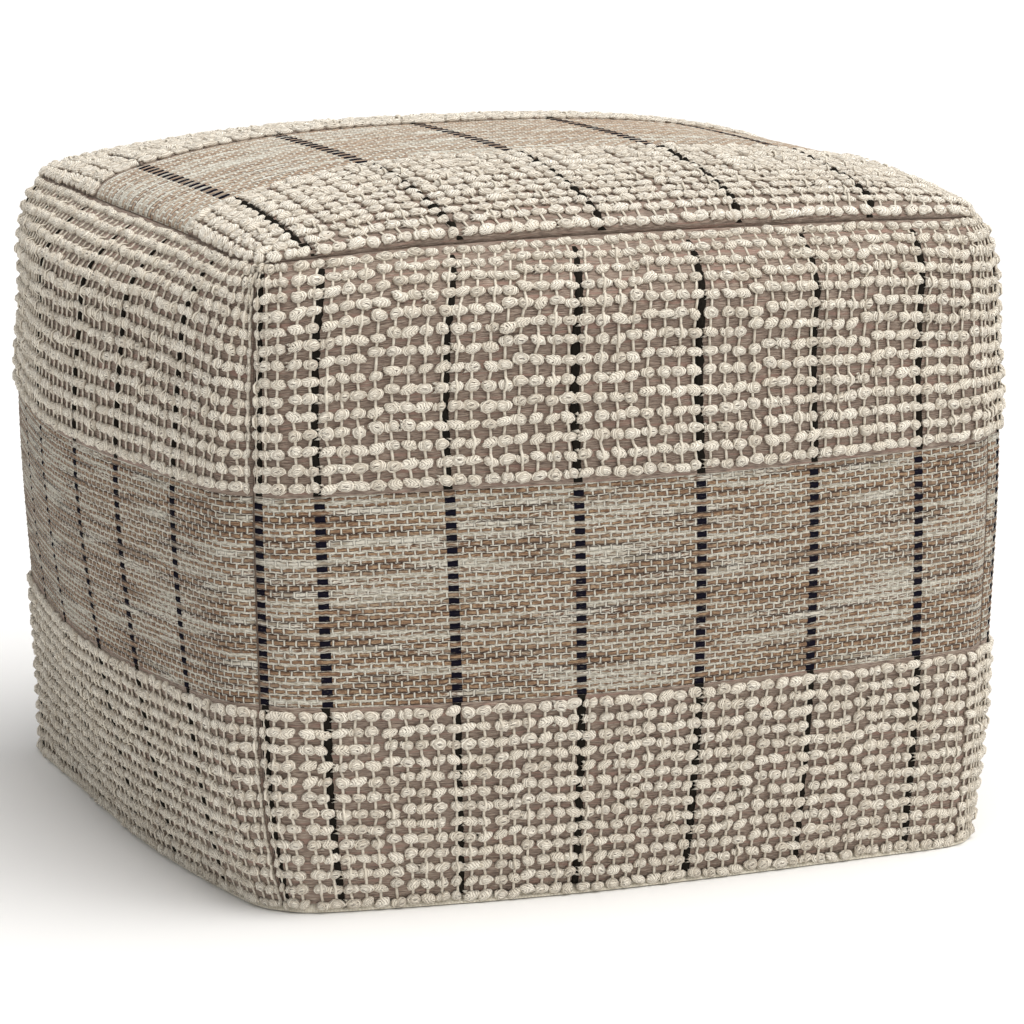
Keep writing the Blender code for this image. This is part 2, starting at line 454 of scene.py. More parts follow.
def make_piece(name: str, patch: Patch, materials: list[Material],
               closed: bool = False) -> bpy.types.Object:
    """Make one piece of the pouf, at the origin, riding on its body.

    Args:
        name: the piece's name.
        patch: its mesh.
        materials: its materials, in the order of the patch's slots.
        closed: whether it is one closed solid whose faces may need turning outwards.

    Returns:
        The new object.
    """
    mesh = bpy.data.meshes.new(name)
    fill_mesh(mesh, patch)
    if closed:
        solid = bmesh.new()
        solid.from_mesh(mesh)
        bmesh.ops.recalc_face_normals(solid, faces=solid.faces)
        solid.to_mesh(mesh)
        solid.free()
    for material in materials:
        mesh.materials.append(material)
    piece = new_object(name, mesh)
    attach(piece, BODY)
    log.info("%s: %d triangles", name, patch.triangles())
    return piece


def grid_faces(rows: int, columns: int) -> Array:
    """Give the quads of a grid of points stored row by row, facing along x up."""
    low = np.arange(rows - 1)[:, None] * columns + np.arange(columns - 1)[None, :]
    quads = np.stack([low, low + 1, low + columns + 1, low + columns], -1)
    return quads.reshape(-1, 4)


def copied_faces(faces: list[Array], copies: int, points: int, turned: bool = False) -> list[Array]:
    """Repeat faces for copies of their points, with the corners' order turned round if asked."""
    first = np.arange(copies)[:, None, None] * points
    step = -1 if turned else 1
    return [(part[None, :, ::step] + first).reshape(-1, part.shape[1]) for part in faces]


def joined(patches: list[Patch]) -> Patch:
    """Join patches whose faces have the same numbers of corners in the same order."""
    starts = np.cumsum([0] + [len(patch.points) for patch in patches])
    kinds = sorted({part.shape[1] for patch in patches for part in patch.faces})
    merged, corner_uv = [], []
    for kind in kinds:
        found = []
        for start, patch in zip(starts, patches):
            first = 0
            for part in patch.faces:
                last = first + part.size
                if part.shape[1] == kind:
                    found.append(part + start)
                    corner_uv.append(patch.uv[first:last])
                first = last
        merged.append(np.concatenate(found))
    names = patches[0].values
    values = {name: np.concatenate([patch.values[name] for patch in patches]) for name in names}
    points = np.concatenate([patch.points for patch in patches])
    return Patch(points, merged, np.concatenate(corner_uv), values)


# ---- Shader wiring ----

Socket = bpy.types.NodeSocket
Number = Union[Socket, float]
Tint = Union[Socket, Colour]


class Wiring:
    """Adds nodes to one node tree and links them."""

    def __init__(self, tree: Tree) -> None:
        """Hold the tree."""
        self.tree = tree

    def node(self, kind: str, given: tuple[tuple[str | int, Union[Number, Tint]], ...] = (),
             **settings: object) -> bpy.types.Node:
        """Add a node of a kind with its settings, and feed its sockets by name or number."""
        made = self.tree.nodes.new(kind)
        for name, value in settings.items():
            setattr(made, name, value)
        for label, value in given:
            self.feed(made.inputs[label], value)
        return made

    def feed(self, socket: Socket, value: Union[Number, Tint]) -> None:
        """Link a socket to another one, or set its value."""
        if isinstance(value, bpy.types.NodeSocket):
            self.tree.links.new(value, socket)
        else:
            socket.default_value = value

    def math(self, operation: str, first: Number, second: Number = 0.0,
             third: Number = 0.0, clamp: bool = False) -> Socket:
        """Add a Math node and give its result."""
        given = tuple(enumerate((first, second, third)))
        return self.node("ShaderNodeMath", given, operation=operation, use_clamp=clamp).outputs[0]

    def times(self, first: Number, second: Number) -> Socket:
        """Multiply two numbers."""
        return self.math("MULTIPLY", first, second)

    def times_plus(self, first: Number, second: Number, third: Number) -> Socket:
        """Multiply two numbers and add a third."""
        return self.math("MULTIPLY_ADD", first, second, third)

    def plus(self, first: Number, second: Number) -> Socket:
        """Add two numbers."""
        return self.math("ADD", first, second)

    def less(self, first: Number, second: Number) -> Socket:
        """Take the second number from the first."""
        return self.math("SUBTRACT", first, second)

    def over(self, first: Number, second: Number) -> Socket:
        """Divide the first number by the second."""
        return self.math("DIVIDE", first, second)

    def larger(self, first: Number, second: Number) -> Socket:
        """Give the larger of two numbers."""
        return self.math("MAXIMUM", first, second)

    def size(self, value: Number) -> Socket:
        """Give a number without its sign."""
        return self.math("ABSOLUTE", value)

    def spread(self, value: Number, low: Number, high: Number,
               start: float = 0.0, end: float = 1.0) -> Socket:
        """Ease a value from start at low to end at high."""
        given = (("Value", value), ("From Min", low), ("From Max", high), ("To Min", start), ("To Max", end))
        return self.node("ShaderNodeMapRange", given, interpolation_type="SMOOTHSTEP").outputs[0]

    def blend(self, share: Number, first: Tint, second: Tint) -> Socket:
        """Mix two colours by a share."""
        given = ((0, share), (6, first), (7, second))
        return self.node("ShaderNodeMix", given, data_type="RGBA", clamp_result=False).outputs[2]

    def noise(self, vector: Socket, detail: float = 2.0, roughness: float = 0.5) -> Socket:
        """Add noise on a vector and give its value, 0 to 1."""
        given = (("Vector", vector), ("Scale", 1.0), ("Detail", detail), ("Roughness", roughness))
        return self.node("ShaderNodeTexNoise", given, noise_dimensions="3D", normalize=True).outputs[0]

    def pair(self, x: Number, y: Number, z: Number = 0.0) -> Socket:
        """Join numbers into a vector."""
        return self.node("ShaderNodeCombineXYZ", tuple(enumerate((x, y, z)))).outputs[0]

    def patchy(self, x: Socket, y: Socket, scales: Pair, depth: Number = 0.0,
               detail: float = 2.0) -> Socket:
        """Add noise at two places, each times its own scale, at a depth of its own."""
        scaled = self.times(x, scales[0]), self.times(y, scales[1])
        return self.noise(self.pair(*scaled, depth), detail)

    def parts(self, vector: Socket) -> tuple[Socket, Socket]:
        """Split the first two numbers off a vector."""
        made = self.node("ShaderNodeSeparateXYZ", ((0, vector),))
        return made.outputs[0], made.outputs[1]

    def cloth_map(self) -> Socket:
        """Give the piece's own UV map, in millimetres of cloth."""
        return self.node("ShaderNodeUVMap", uv_map="Cloth").outputs[0]

    def value_of(self, name: str) -> Socket:
        """Give a named value of the piece's points."""
        return self.node("ShaderNodeAttribute", attribute_name=name).outputs["Fac"]

    def group(self, tree: Tree, **given: Union[Number, Tint]) -> bpy.types.Node:
        """Place a node group and feed its inputs by name."""
        made = self.node("ShaderNodeGroup", node_tree=tree)
        for name, value in given.items():
            self.feed(made.inputs[name], value)
        return made

    def bump(self, height: Socket, distance: float, strength: float) -> Socket:
        """Turn a height into a normal."""
        given = (("Strength", strength), ("Distance", distance), ("Height", height))
        return self.node("ShaderNodeBump", given).outputs[0]


def new_group(name: str, inputs: dict[str, str],
              outputs: dict[str, str]) -> tuple[Tree, Wiring, Outputs, Inputs]:
    """Start a node group.

    Args:
        name: the group's name.
        inputs: the socket type of each input.
        outputs: the socket type of each output.

    Returns:
        The tree, its wiring, the sockets that come in and the sockets that go out.
    """
    tree = bpy.data.node_groups.new(name, "ShaderNodeTree")
    for label, kind in inputs.items():
        tree.interface.new_socket(name=label, in_out="INPUT", socket_type=kind)
    for label, kind in outputs.items():
        tree.interface.new_socket(name=label, in_out="OUTPUT", socket_type=kind)
    wires = Wiring(tree)
    start = wires.node("NodeGroupInput")
    end = wires.node("NodeGroupOutput")
    return tree, wires, start.outputs, end.inputs


VECTOR = "NodeSocketVector"
NUMBER = "NodeSocketFloat"


def fibre_group() -> Tree:
    """Fine fibres that run along a map's first axis: a streak, 0 to 1, and a height.

    Two noises are stretched along the first axis, one for single fibres and one for the slow
    change from fibre bundle to bundle.
    """
    tree, wires, given, result = new_group(
        "Fibres", {"Map": VECTOR, "Length": NUMBER, "Width": NUMBER}, {"Streak": NUMBER, "Bundle": NUMBER})
    along, across = wires.parts(given["Map"])
    u = wires.over(along, given["Length"])
    v = wires.over(across, given["Width"])
    wires.feed(result["Streak"], wires.noise(wires.pair(u, v), 3.0, 0.6))
    wires.feed(result["Bundle"], wires.patchy(u, v, (0.31, 0.24), 7.3))
    return tree


def hand_group() -> Tree:
    """The unevenness of hand weaving: shifts a map by slow noise, along and across."""
    tree, wires, given, result = new_group(
        "Hand weaving", {"Map": VECTOR, "Along": NUMBER, "Across": NUMBER, "Size": NUMBER}, {"Map": VECTOR})
    along, across = wires.parts(given["Map"])
    u = wires.over(along, given["Size"])
    v = wires.over(across, given["Size"])
    first = wires.noise(wires.pair(u, v, 1.7))
    second = wires.noise(wires.pair(u, v, 9.1))
    shift_u = wires.times(wires.less(first, 0.5), given["Along"])
    shift_v = wires.times(wires.less(second, 0.5), given["Across"])
    wires.feed(result["Map"], wires.pair(wires.plus(along, shift_u), wires.plus(across, shift_v)))
    return tree


@dataclass(frozen=True)
class Winding:
    """Strands wound round a bobble, on its map in millimetres."""

    spindle_half: float = 3.1
    strand_width: float = 1.15
    least_outline: float = 0.30
    slant: float = 0.55
    squash: float = 0.84
    # Where the crescents take over from the body, the line of painted shade between them and its half width
    body_ends: Pair = (2.30, 2.50)
    rim: float = 2.40
    rim_half: Pair = (0.10, 0.42)
    rim_depth: float = 0.8
    # A braid's strands: their slopes off the middle line and along it, and the share that turns
    braid_up: float = 0.50
    braid_along: float = 0.62
    turned_share: float = 0.35
    # How far noise strays the strands of the body, the crescents and the braids
    body_stray: float = 2.6
    crescent_stray: float = 0.9
    braid_stray: float = 1.6
    slit_half: Pair = (0.42, 0.12)
    slit_length: Pair = (1.5, 0.7)
    slit_depth: float = 0.8

    def group(self) -> Tree:
        """Build the node group: how near a point is to a strand's crest, pits of painted shade, and grain.

        Over the body the strands bow from end to end like the lines of a spindle: their phase is
        the height over the body's own outline. Past the outline they close round it as crescents,
        whose phase is the distance from the body's middle. In a braid they slant to both sides of
        the middle line. Noise with the bobble's own seed strays them all.
        """
        tree, wires, given, result = new_group(
            "Wound strands", {"Map": VECTOR, "Seed": NUMBER, "Braided": NUMBER},
            {"Crest": NUMBER, "Pit": NUMBER, "Grain": NUMBER})
        u, v = wires.parts(given["Map"])
        seed, braided = given["Seed"], given["Braided"]
        stray = wires.less(wires.patchy(u, v, (0.45, 0.45), wires.times(seed, 83.0), 1.5), 0.5)
        # The spindle: how much of its height is left at this place along it
        along = wires.over(u, self.spindle_half)
        left = wires.less(1.0, wires.times(along, along))
        outline = wires.larger(wires.math("SQRT", wires.larger(left, 0.0)), self.least_outline)
        slant = wires.times(wires.less(seed, 0.5), self.slant)
        height = wires.times_plus(u, slant, v)
        bowed = wires.over(height, wires.times(outline, self.strand_width))
        bowed = wires.times_plus(stray, self.body_stray, bowed)
        low_v = wires.times(v, self.squash)
        radius = wires.math("SQRT", wires.plus(wires.times(u, u), wires.times(low_v, low_v)))
        radius = wires.times_plus(stray, self.crescent_stray, radius)
        past = wires.spread(radius, *self.body_ends)
        wound = wires.times_plus(wires.less(wires.over(radius, self.strand_width), bowed), past, bowed)
        side = wires.math("SIGN", wires.less(seed, self.turned_share))
        slanted = wires.times_plus(wires.times(wires.size(v), side), self.braid_up,
                                   wires.times(u, self.braid_along))
        slanted = wires.times_plus(stray, self.braid_stray, slanted)
        phase = wires.times_plus(wires.less(slanted, wound), braided, wound)
        wave = wires.math("COSINE", wires.times(phase, 2.0 * math.pi))
        crest = wires.spread(wave, -1.0, 0.1)
        # A line of painted shade, and a dip in the bump, where the crescents close on the body
        rim = wires.spread(wires.size(wires.less(radius, self.rim)), *self.rim_half)
        rim = wires.larger(rim, braided)
        rim = wires.times_plus(rim, self.rim_depth, 1.0 - self.rim_depth)
        wires.feed(result["Crest"], wires.times(crest, rim))
        # Pits of painted shade at spots of noise in the grooves
        spots = wires.patchy(u, v, (0.75, 0.95), wires.times(seed, 31.0), 1.0)
        pits = wires.times(wires.spread(spots, 0.60, 0.70), wires.spread(wave, 0.1, -0.5))
        # Painted shade of a short opening in the middle of some bodies
        slit = wires.times(wires.spread(wires.size(height), *self.slit_half),
                           wires.spread(wires.size(u), *self.slit_length))
        slit = wires.times(slit, wires.spread(wires.size(slant), 0.10, 0.16))
        slit = wires.times(slit, wires.less(1.0, braided))
        wires.feed(result["Pit"], wires.larger(pits, wires.times(slit, self.slit_depth)))
        wires.feed(result["Grain"], wires.patchy(u, v, (2.2, 2.2), wires.times(seed, 57.0)))
        return tree


@dataclass
class Groups:
    """The shared node groups, each built once, and how they are laid on a map in millimetres."""

    fibres: Tree = field(default_factory=fibre_group)
    hand: Tree = field(default_factory=hand_group)
    wound: Tree = field(default_factory=Winding().group)

    def laid(self, wires: Wiring, place: Socket, size: Pair) -> Outputs:
        """Lay fibres of a length and a width on a map."""
        return wires.group(self.fibres, Map=place, Length=size[0], Width=size[1]).outputs

    def strayed(self, wires: Wiring, place: Socket, strays: Triple) -> Socket:
        """Stray a map along and across, in patches of a size."""
        along, across, size = strays
        return wires.group(self.hand, Map=place, Along=along, Across=across, Size=size).outputs["Map"]


@dataclass(frozen=True, kw_only=True)
class Finish:
    """A cloth's finish: how rough it is, its soft sheen and its shine."""

    name: str
    roughness: float = 0.9
    sheen: float = 0.1
    sheen_roughness: float = 0.6
    shine: float = 0.25
    bump_depth: float = 0.0009
    bump_strength: float = 0.9

    def start(self) -> tuple[Material, Wiring, Inputs]:
        """Start the material and give it with its wiring and its shader's sockets."""
        material = bpy.data.materials.new(self.name)
        material.use_nodes = True
        shader = material.node_tree.nodes["Principled BSDF"].inputs
        for label, value in (("Roughness", self.roughness), ("Specular IOR Level", self.shine),
                             ("Sheen Weight", self.sheen), ("Sheen Roughness", self.sheen_roughness)):
            shader[label].default_value = value
        return material, Wiring(material.node_tree), shader

    def dress(self, wires: Wiring, shader: Inputs, colour: Socket, height: Socket) -> None:
        """Give the shader its colour and, from a height, its bumps."""
        wires.feed(shader["Base Color"], colour)
        wires.feed(shader["Normal"], wires.bump(height, self.bump_depth, self.bump_strength))


@dataclass(frozen=True, kw_only=True)
class YarnFinish(Finish):
    """Twisted cotton yarn: fine fibres along each strand, and painted shade in the creases between strands
    and on the side that faces into the cloth.
    """

    light: Colour
    deep: Colour
    shaded_crease: Colour
    roughness: float = 0.92
    sheen: float = 0.15
    fibres: Pair = (2.4, 0.22)
    crease_share: float = 0.75
    crease_power: float = 1.6
    bump_depth: float = 0.00025
    bump_strength: float = 0.55

    def build(self, groups: Groups) -> Material:
        """Build the material."""
        material, wires, shader = self.start()
        fibres = groups.laid(wires, wires.cloth_map(), self.fibres)
        worn = wires.times_plus(fibres["Streak"], 0.55, wires.times(wires.value_of("tone"), 0.45))
        body = wires.blend(wires.spread(worn, 0.25, 0.75), self.deep, self.light)
        # Painted shade, strongest where a point is marked darkest
        shaded_crease = wires.math("POWER", wires.value_of("shaded_crease"), self.crease_power)
        share = wires.math("MULTIPLY", shaded_crease, self.crease_share, clamp=True)
        height = wires.times_plus(fibres["Bundle"], 0.6, fibres["Streak"])
        self.dress(wires, shader, wires.blend(share, body, self.shaded_crease), height)
        return material


@dataclass(frozen=True, kw_only=True)
class WoundFinish(Finish):
    """The bobbles: fine yarn wound into a ball or laid as a braid, with painted shade in its grooves, folds
    and small pits.
    """

    light: Colour
    deep: Colour
    shaded_crease: Colour
    pit_shade: Colour
    roughness: float = 0.92
    sheen: float = 0.15
    crease_share: float = 0.80
    fold_power: float = 1.5
    bump_depth: float = 0.0006
    bump_strength: float = 0.85

    def build(self, groups: Groups) -> Material:
        """Build the material."""
        material, wires, shader = self.start()
        tone = wires.value_of("tone")
        wound = wires.group(groups.wound, Map=wires.cloth_map(), Seed=tone,
                            Braided=wires.value_of("braided")).outputs
        shade = wires.times_plus(wound["Grain"], 0.5, wires.times(tone, 0.5))
        body = wires.blend(wires.spread(shade, 0.2, 0.8), self.deep, self.light)
        # Painted shade in the grooves between strands and in the folds, then a darker painted shade in the
        # pits
        groove = wires.less(1.0, wound["Crest"])
        fold_shade = wires.math("POWER", wires.value_of("shaded_crease"), self.fold_power)
        lines = wires.times(groove, wires.times_plus(wound["Grain"], 0.8, 0.25))
        share = wires.math("MULTIPLY", wires.larger(lines, fold_shade), self.crease_share, clamp=True)
        body = wires.blend(share, body, self.shaded_crease)
        body = wires.blend(wound["Pit"], body, self.pit_shade)
        self.dress(wires, shader, body, wires.less(wound["Crest"], wound["Pit"]))
        return material


@dataclass(frozen=True, kw_only=True)
class GroundFinish(Finish):
    """The taupe ground behind the bobbles: long fine weft fibres, some pinkish, some pale."""

    middle: Colour
    dark: Colour
    pale: Colour
    warm: Colour
    strays: Triple = (2.0, 1.2, 9.0)
    fibres: Pair = (7.0, 0.42)
    # The noise at which each colour starts and is full
    middle_at: Pair = (0.38, 0.54)
    warm_at: Pair = (0.54, 0.68)
    pale_at: Pair = (0.56, 0.70)

    def build(self, groups: Groups) -> Material:
        """Build the material."""
        material, wires, shader = self.start()
        fibres = groups.laid(wires, groups.strayed(wires, wires.cloth_map(), self.strays), self.fibres)
        body = wires.blend(wires.spread(fibres["Streak"], *self.middle_at), self.dark, self.middle)
        body = wires.blend(wires.spread(fibres["Bundle"], *self.warm_at), body, self.warm)
        body = wires.blend(wires.spread(fibres["Streak"], *self.pale_at), body, self.pale)
        self.dress(wires, shader, body, fibres["Streak"])
        return material


@dataclass(frozen=True, kw_only=True)
class WeaveFinish(Finish):
    """The flat band: tan weft bricks between pale warp ticks, pale weft lines between rows.

    tick is the distance between neighbouring warps and row the height of a weft row, both in
    millimetres. A tick shows over every second warp, and the rows alternate. The dark stripe
    shows as a dash on every second row, and fainter by dash_between on the rows between.
    """

    tan: Colour
    brown: Colour
    grey: Colour
    pale: Colour
    shaded_crease: Colour
    dash: Colour
    tick: float = 3.0
    row: float = 3.0
    first_row: float = 0.0
    tick_half: float = 0.36
    line_half: float = 0.36
    dash_half: float = 2.55
    dash_between: float = 0.0
    dash_shine: float = 0.03
    pale_from: float = 0.580
    slow_strays: Triple = (1.0, 1.3, 8.0)
    quick_strays: Triple = (0.7, 0.75, 2.2)
    fine_fibres: Pair = (3.4, 0.62)
    long_fibres: Pair = (17.0, 0.85)
    crease_share: float = 0.88
    bump_depth: float = 0.0011

    def build(self, groups: Groups) -> Material:
        """Build the material: each mask is a distance in the weave's own cell, eased at its edge."""
        material, wires, shader = self.start()
        slow = groups.strayed(wires, wires.cloth_map(), self.slow_strays)
        placed = groups.strayed(wires, slow, self.quick_strays)
        along, up = wires.parts(placed)
        rows = wires.over(wires.less(up, self.first_row), self.row)
        row_index = wires.math("FLOOR", rows)
        in_row = wires.less(rows, row_index)
        odd = wires.math("FLOORED_MODULO", row_index, 2.0)
        ticks = wires.times_plus(odd, 0.5, wires.over(along, 2.0 * self.tick))
        cell = wires.math("ROUND", ticks)
        from_tick = wires.times(wires.size(wires.less(ticks, cell)), 2.0 * self.tick)
        from_line = wires.times(wires.less(0.5, wires.size(wires.less(in_row, 0.5))), self.row)
        fine = groups.laid(wires, placed, self.fine_fibres)
        long = groups.laid(wires, placed, self.long_fibres)
        brick = self.bricks(wires, fine, along, cell, row_index)
        line = self.pale_lines(wires, fine, along, rows, from_line)
        in_stripe = wires.spread(wires.value_of("stripe"), self.dash_half + 0.30, self.dash_half - 0.10)
        plain = wires.less(1.0, in_stripe)
        # Painted shade in the creases on both sides of a pale line, and a painted shadow beside a tick
        shaded_crease = wires.spread(wires.less(from_line, self.line_half), 0.62, 0.0)
        beside_tick_shade = wires.spread(from_tick, self.tick_half + 0.65, self.tick_half)
        shaded_crease = wires.larger(shaded_crease, wires.times(wires.times(beside_tick_shade, plain), 0.6))
        body = wires.blend(wires.times(shaded_crease, self.crease_share), brick, self.shaded_crease)
        yarn = wires.blend(wires.spread(fine["Streak"], 0.38, 0.60), self.grey, self.pale)
        body = wires.blend(wires.times(line, wires.times_plus(plain, 0.35, 0.65)), body, yarn)
        tick = wires.spread(from_tick, self.tick_half + 0.25, self.tick_half - 0.12)
        tick = wires.times(tick, wires.times(plain, wires.spread(long["Bundle"], 0.2, 0.5)))
        body = wires.blend(tick, body, self.pale)
        dash_row = wires.times_plus(odd, self.dash_between - 1.0, 1.0)
        dash = wires.times(in_stripe, wires.times(dash_row, wires.spread(from_line, -0.1, 0.2)))
        worn = wires.blend(wires.spread(fine["Streak"], 0.60, 0.85), self.dash, self.grey)
        body = wires.blend(dash, body, worn)
        shine = wires.times_plus(dash, self.dash_shine - self.shine, self.shine)
        wires.feed(shader["Specular IOR Level"], shine)
        wires.feed(shader["Sheen Weight"], wires.times_plus(dash, -self.sheen, self.sheen))
        height = wires.times_plus(fine["Streak"], 0.7, wires.times(tick, 0.6))
        height = wires.less(wires.times_plus(line, 0.5, height), shaded_crease)
        self.dress(wires, shader, body, height)
        return material

    def bricks(self, wires: Wiring, fine: Outputs, along: Socket, cell: Socket,
               row_index: Socket) -> Socket:
        """Colour the weft: brown to tan by the fibres, with single darker bricks and long pale runs."""
        given = (("Vector", wires.pair(cell, row_index)),)
        single = wires.node("ShaderNodeTexWhiteNoise", given, noise_dimensions="2D")
        patches = wires.patchy(along, row_index, (0.010, 0.45), 2.9)
        brick = wires.blend(wires.spread(fine["Streak"], 0.42, 0.57), self.brown, self.tan)
        brick = wires.blend(wires.spread(patches, 0.50, 0.62, 0.0, 0.30), brick, self.grey)
        brick = wires.blend(wires.times(single.outputs["Value"], 0.45), brick, self.brown)
        runs = wires.patchy(along, row_index, (0.012, 2.37), 0.0, 1.0)
        runs = wires.times_plus(wires.less(fine["Streak"], 0.5), 0.5, runs)
        pale = wires.blend(wires.spread(fine["Bundle"], 0.40, 0.56), self.grey, self.pale)
        share = wires.spread(runs, self.pale_from, self.pale_from + 0.07, 0.0, 0.90)
        return wires.blend(share, brick, pale)

    def pale_lines(self, wires: Wiring, fine: Outputs, along: Socket, rows: Socket,
                   from_line: Socket) -> Socket:
        """Mask the pale weft lines between the rows, ragged, in places lost or widened to slubs."""
        boundary = wires.math("ROUND", rows)
        run = wires.patchy(along, boundary, (0.020, 1.87), 5.3)
        slub = wires.patchy(along, boundary, (0.012, 1.61), 3.1, 1.0)
        wide = wires.times(wires.spread(slub, 0.50, 0.62), 0.65)
        ragged = wires.times_plus(wires.less(fine["Streak"], 0.5), 2.2, wide)
        thin = wires.spread(run, 0.40, 0.58, self.line_half - 0.45, self.line_half + 0.10)
        edge = wires.plus(ragged, thin)
        return wires.spread(from_line, wires.plus(edge, 0.20), edge)


@dataclass(frozen=True, kw_only=True)
class CanvasFinish(Finish):
    """Plain cream canvas, for the base panel: a fine even weave."""

    light: Colour
    deep: Colour
    thread: float = 0.9
    fibres: Pair = (3.0, 0.5)
    bump_depth: float = 0.0003
    bump_strength: float = 0.7

    def build(self, groups: Groups) -> Material:
        """Build the material: one sine wave along the cloth times one across it."""
        material, wires, shader = self.start()
        fibres = groups.laid(wires, wires.cloth_map(), self.fibres)
        waves = [wires.math("SINE", wires.times(place, math.pi / self.thread))
                 for place in wires.parts(wires.cloth_map())]
        weave = wires.times_plus(wires.times(*waves), 0.5, 0.5)
        share = wires.times_plus(fibres["Streak"], 0.6, wires.times(weave, 0.4))
        self.dress(wires, shader, wires.blend(wires.spread(share, 0.3, 0.7), self.deep, self.light), share)
        return material


# ---- Bobbles ----


class Knot(Enum):
    """How the yarn of a bobble is wound."""

    BALL = 0
    OVAL = 1
    BRAID = 2
    TUFT = 3


@dataclass
class KnotShape:
    """One kind of bobble in several variants, in shares of its length, height and thickness.

    points is (variants, n, 3): along the row, up and out. uv is (variants, corners, 2), the
    places along and round the bobble in millimetres, counted from the middle of its winding.
    Its values for creases, (variants, n), are painted shade, 1 where it is darkest: deep in creases, under
    the bobble and at its ends.
    """

    points: Array
    faces: list[Array]
    uv: Array
    shaded_crease: Array


def tube_faces(rings: int, around: int) -> list[Array]:
    """Give the quads between closed rings, and the two caps."""
    ring = np.arange(rings - 1)[:, None] * around
    spoke = np.arange(around)[None, :]
    after = (spoke + 1) % around
    quads = np.stack([ring + spoke, ring + after, ring + around + after, ring + around + spoke], -1)
    start = np.arange(around)[None, ::-1]
    end = (rings - 1) * around + np.arange(around)[None, :]
    return [quads.reshape(-1, 4), np.concatenate([start, end])]


def corner_pairs(pairs: Array, faces: list[Array]) -> Array:
    """Give each face's corners their pairs from a table (..., points, 2)."""
    return np.concatenate([pairs[..., part.ravel(), :] for part in faces], axis=-2)


@dataclass(frozen=True)
class KnotForm:
    """The form of one kind of bobble: how blunt, how tapered, where creased and how slanted.

    Creases are (place from the middle in shares of the length, depth, width). A bobble is
    turned end for end in half of its variants.
    """

    bluntness: float
    taper: float
    creases: tuple[Triple, ...]
    slant: float
    centre: float
    least_end: float = 0.34
    bend: float = 0.10
    # How far out the row's line lies and how far the rings reach from it
    middle_out: float = 0.30
    reach_out: float = 0.70
    # The rings' places along the bobble, and the points of a ring: their turns in degrees from
    # straight up the cloth, and the painted shade on each one, darkest on the points that face the ground
    rings: tuple[float, ...] = (0.0, 0.07, 0.22, 0.40, 0.58, 0.76, 0.92, 1.0)
    turns: tuple[float, ...] = (-32.0, 20.0, 66.0, 112.0, 158.0, 212.0)
    under_shades: tuple[float, ...] = (0.9, 0.1, 0.0, 0.0, 0.1, 0.9)
    # Painted shade at the bobble's ends, and in its creases for each unit of their depth
    end_shade: float = 0.8
    crease_shade: float = 2.4
    # Strays of the creases, rings and points in shares, and of the map in millimetres
    crease_stray: float = 0.04
    ring_stray: float = 0.05
    point_stray: float = 0.028
    map_stray: float = 0.25
    slant_range: Pair = (0.5, 1.2)

    def shape(self, variants: int, rng: np.random.Generator) -> KnotShape:
        """Shape the variants: rings along the row, scaled by a rounded envelope less the creases.

        Each ring is an open circle round the row's line. The rings shear along the row with
        height by the slant, and every ring and point strays a little.
        """
        each = (variants, 1, 1)
        at = np.array(self.rings)[None, :, None]
        turns = np.radians(self.turns)
        sides = rng.choice([-1.0, 1.0], each)
        t = (2.0 * at - 1.0) * sides
        envelope = (1.0 - np.abs(t) ** self.bluntness) ** 0.5
        envelope = np.maximum(envelope * (1.0 - self.taper * t), self.least_end)
        shaded_crease = np.zeros_like(envelope)
        for place, depth, width in self.creases:
            moved = place + rng.uniform(-self.crease_stray, self.crease_stray, each)
            shaded_crease = shaded_crease + depth * np.exp(-((0.5 * t - moved) / width) ** 2)
        strays = rng.uniform(1.0 - self.ring_stray, 1.0 + self.ring_stray, (variants, at.shape[1], 1))
        size = envelope * (1.0 - shaded_crease) * strays
        bend = rng.uniform(-self.bend, self.bend, each) * (1.0 - t ** 2)
        up = 0.5 * size * np.cos(turns) + bend
        out = self.middle_out + self.reach_out * size * np.sin(turns)
        slant = self.slant * rng.uniform(*self.slant_range, each)
        slant *= rng.choice([-1.0, 1.0], each)
        along = (at - 0.5) + slant * up
        points = np.stack(np.broadcast_arrays(along, up, out), -1)
        points = points + rng.normal(0.0, self.point_stray, points.shape)
        u = (at - 0.5 - self.centre * sides) * NOMINAL_LENGTH + 0.0 * turns
        v = (math.pi / 2.0 - turns) * 0.5 * NOMINAL_HEIGHT + 0.0 * u
        pairs = np.stack([u, v], -1) + rng.normal(0.0, self.map_stray, (variants, 1, 1, 2))
        faces = tube_faces(at.shape[1], len(turns))
        uv = corner_pairs(pairs.reshape(variants, -1, 2), faces)
        # Painted shade of each point: in the creases, on the underside where the bobble meets the ground, and
        # at its ends
        ends = np.where((at == 0.0) | (at == 1.0), self.end_shade, 0.0)
        dark = np.clip(shaded_crease * self.crease_shade + np.array(self.under_shades) + ends, 0.0, 1.0)
        return KnotShape(points.reshape(variants, -1, 3), faces, uv, dark.reshape(variants, -1))


NOMINAL_LENGTH = 8.0
NOMINAL_HEIGHT = 6.2
KNOT_FORMS = {
    Knot.BALL: KnotForm(bluntness=2.7, taper=0.08, creases=((0.15, 0.38, 0.055),), slant=0.16, centre=-0.17),
    Knot.OVAL: KnotForm(bluntness=2.2, taper=0.16, creases=(), slant=0.10, centre=0.0),
    Knot.BRAID: KnotForm(bluntness=3.0, taper=0.0, slant=0.38, centre=0.0,
                         creases=((-0.20, 0.22, 0.05), (0.16, 0.22, 0.05))),
}
KNOT_SHARES = {Knot.BALL: 0.46, Knot.OVAL: 0.24, Knot.BRAID: 0.30}


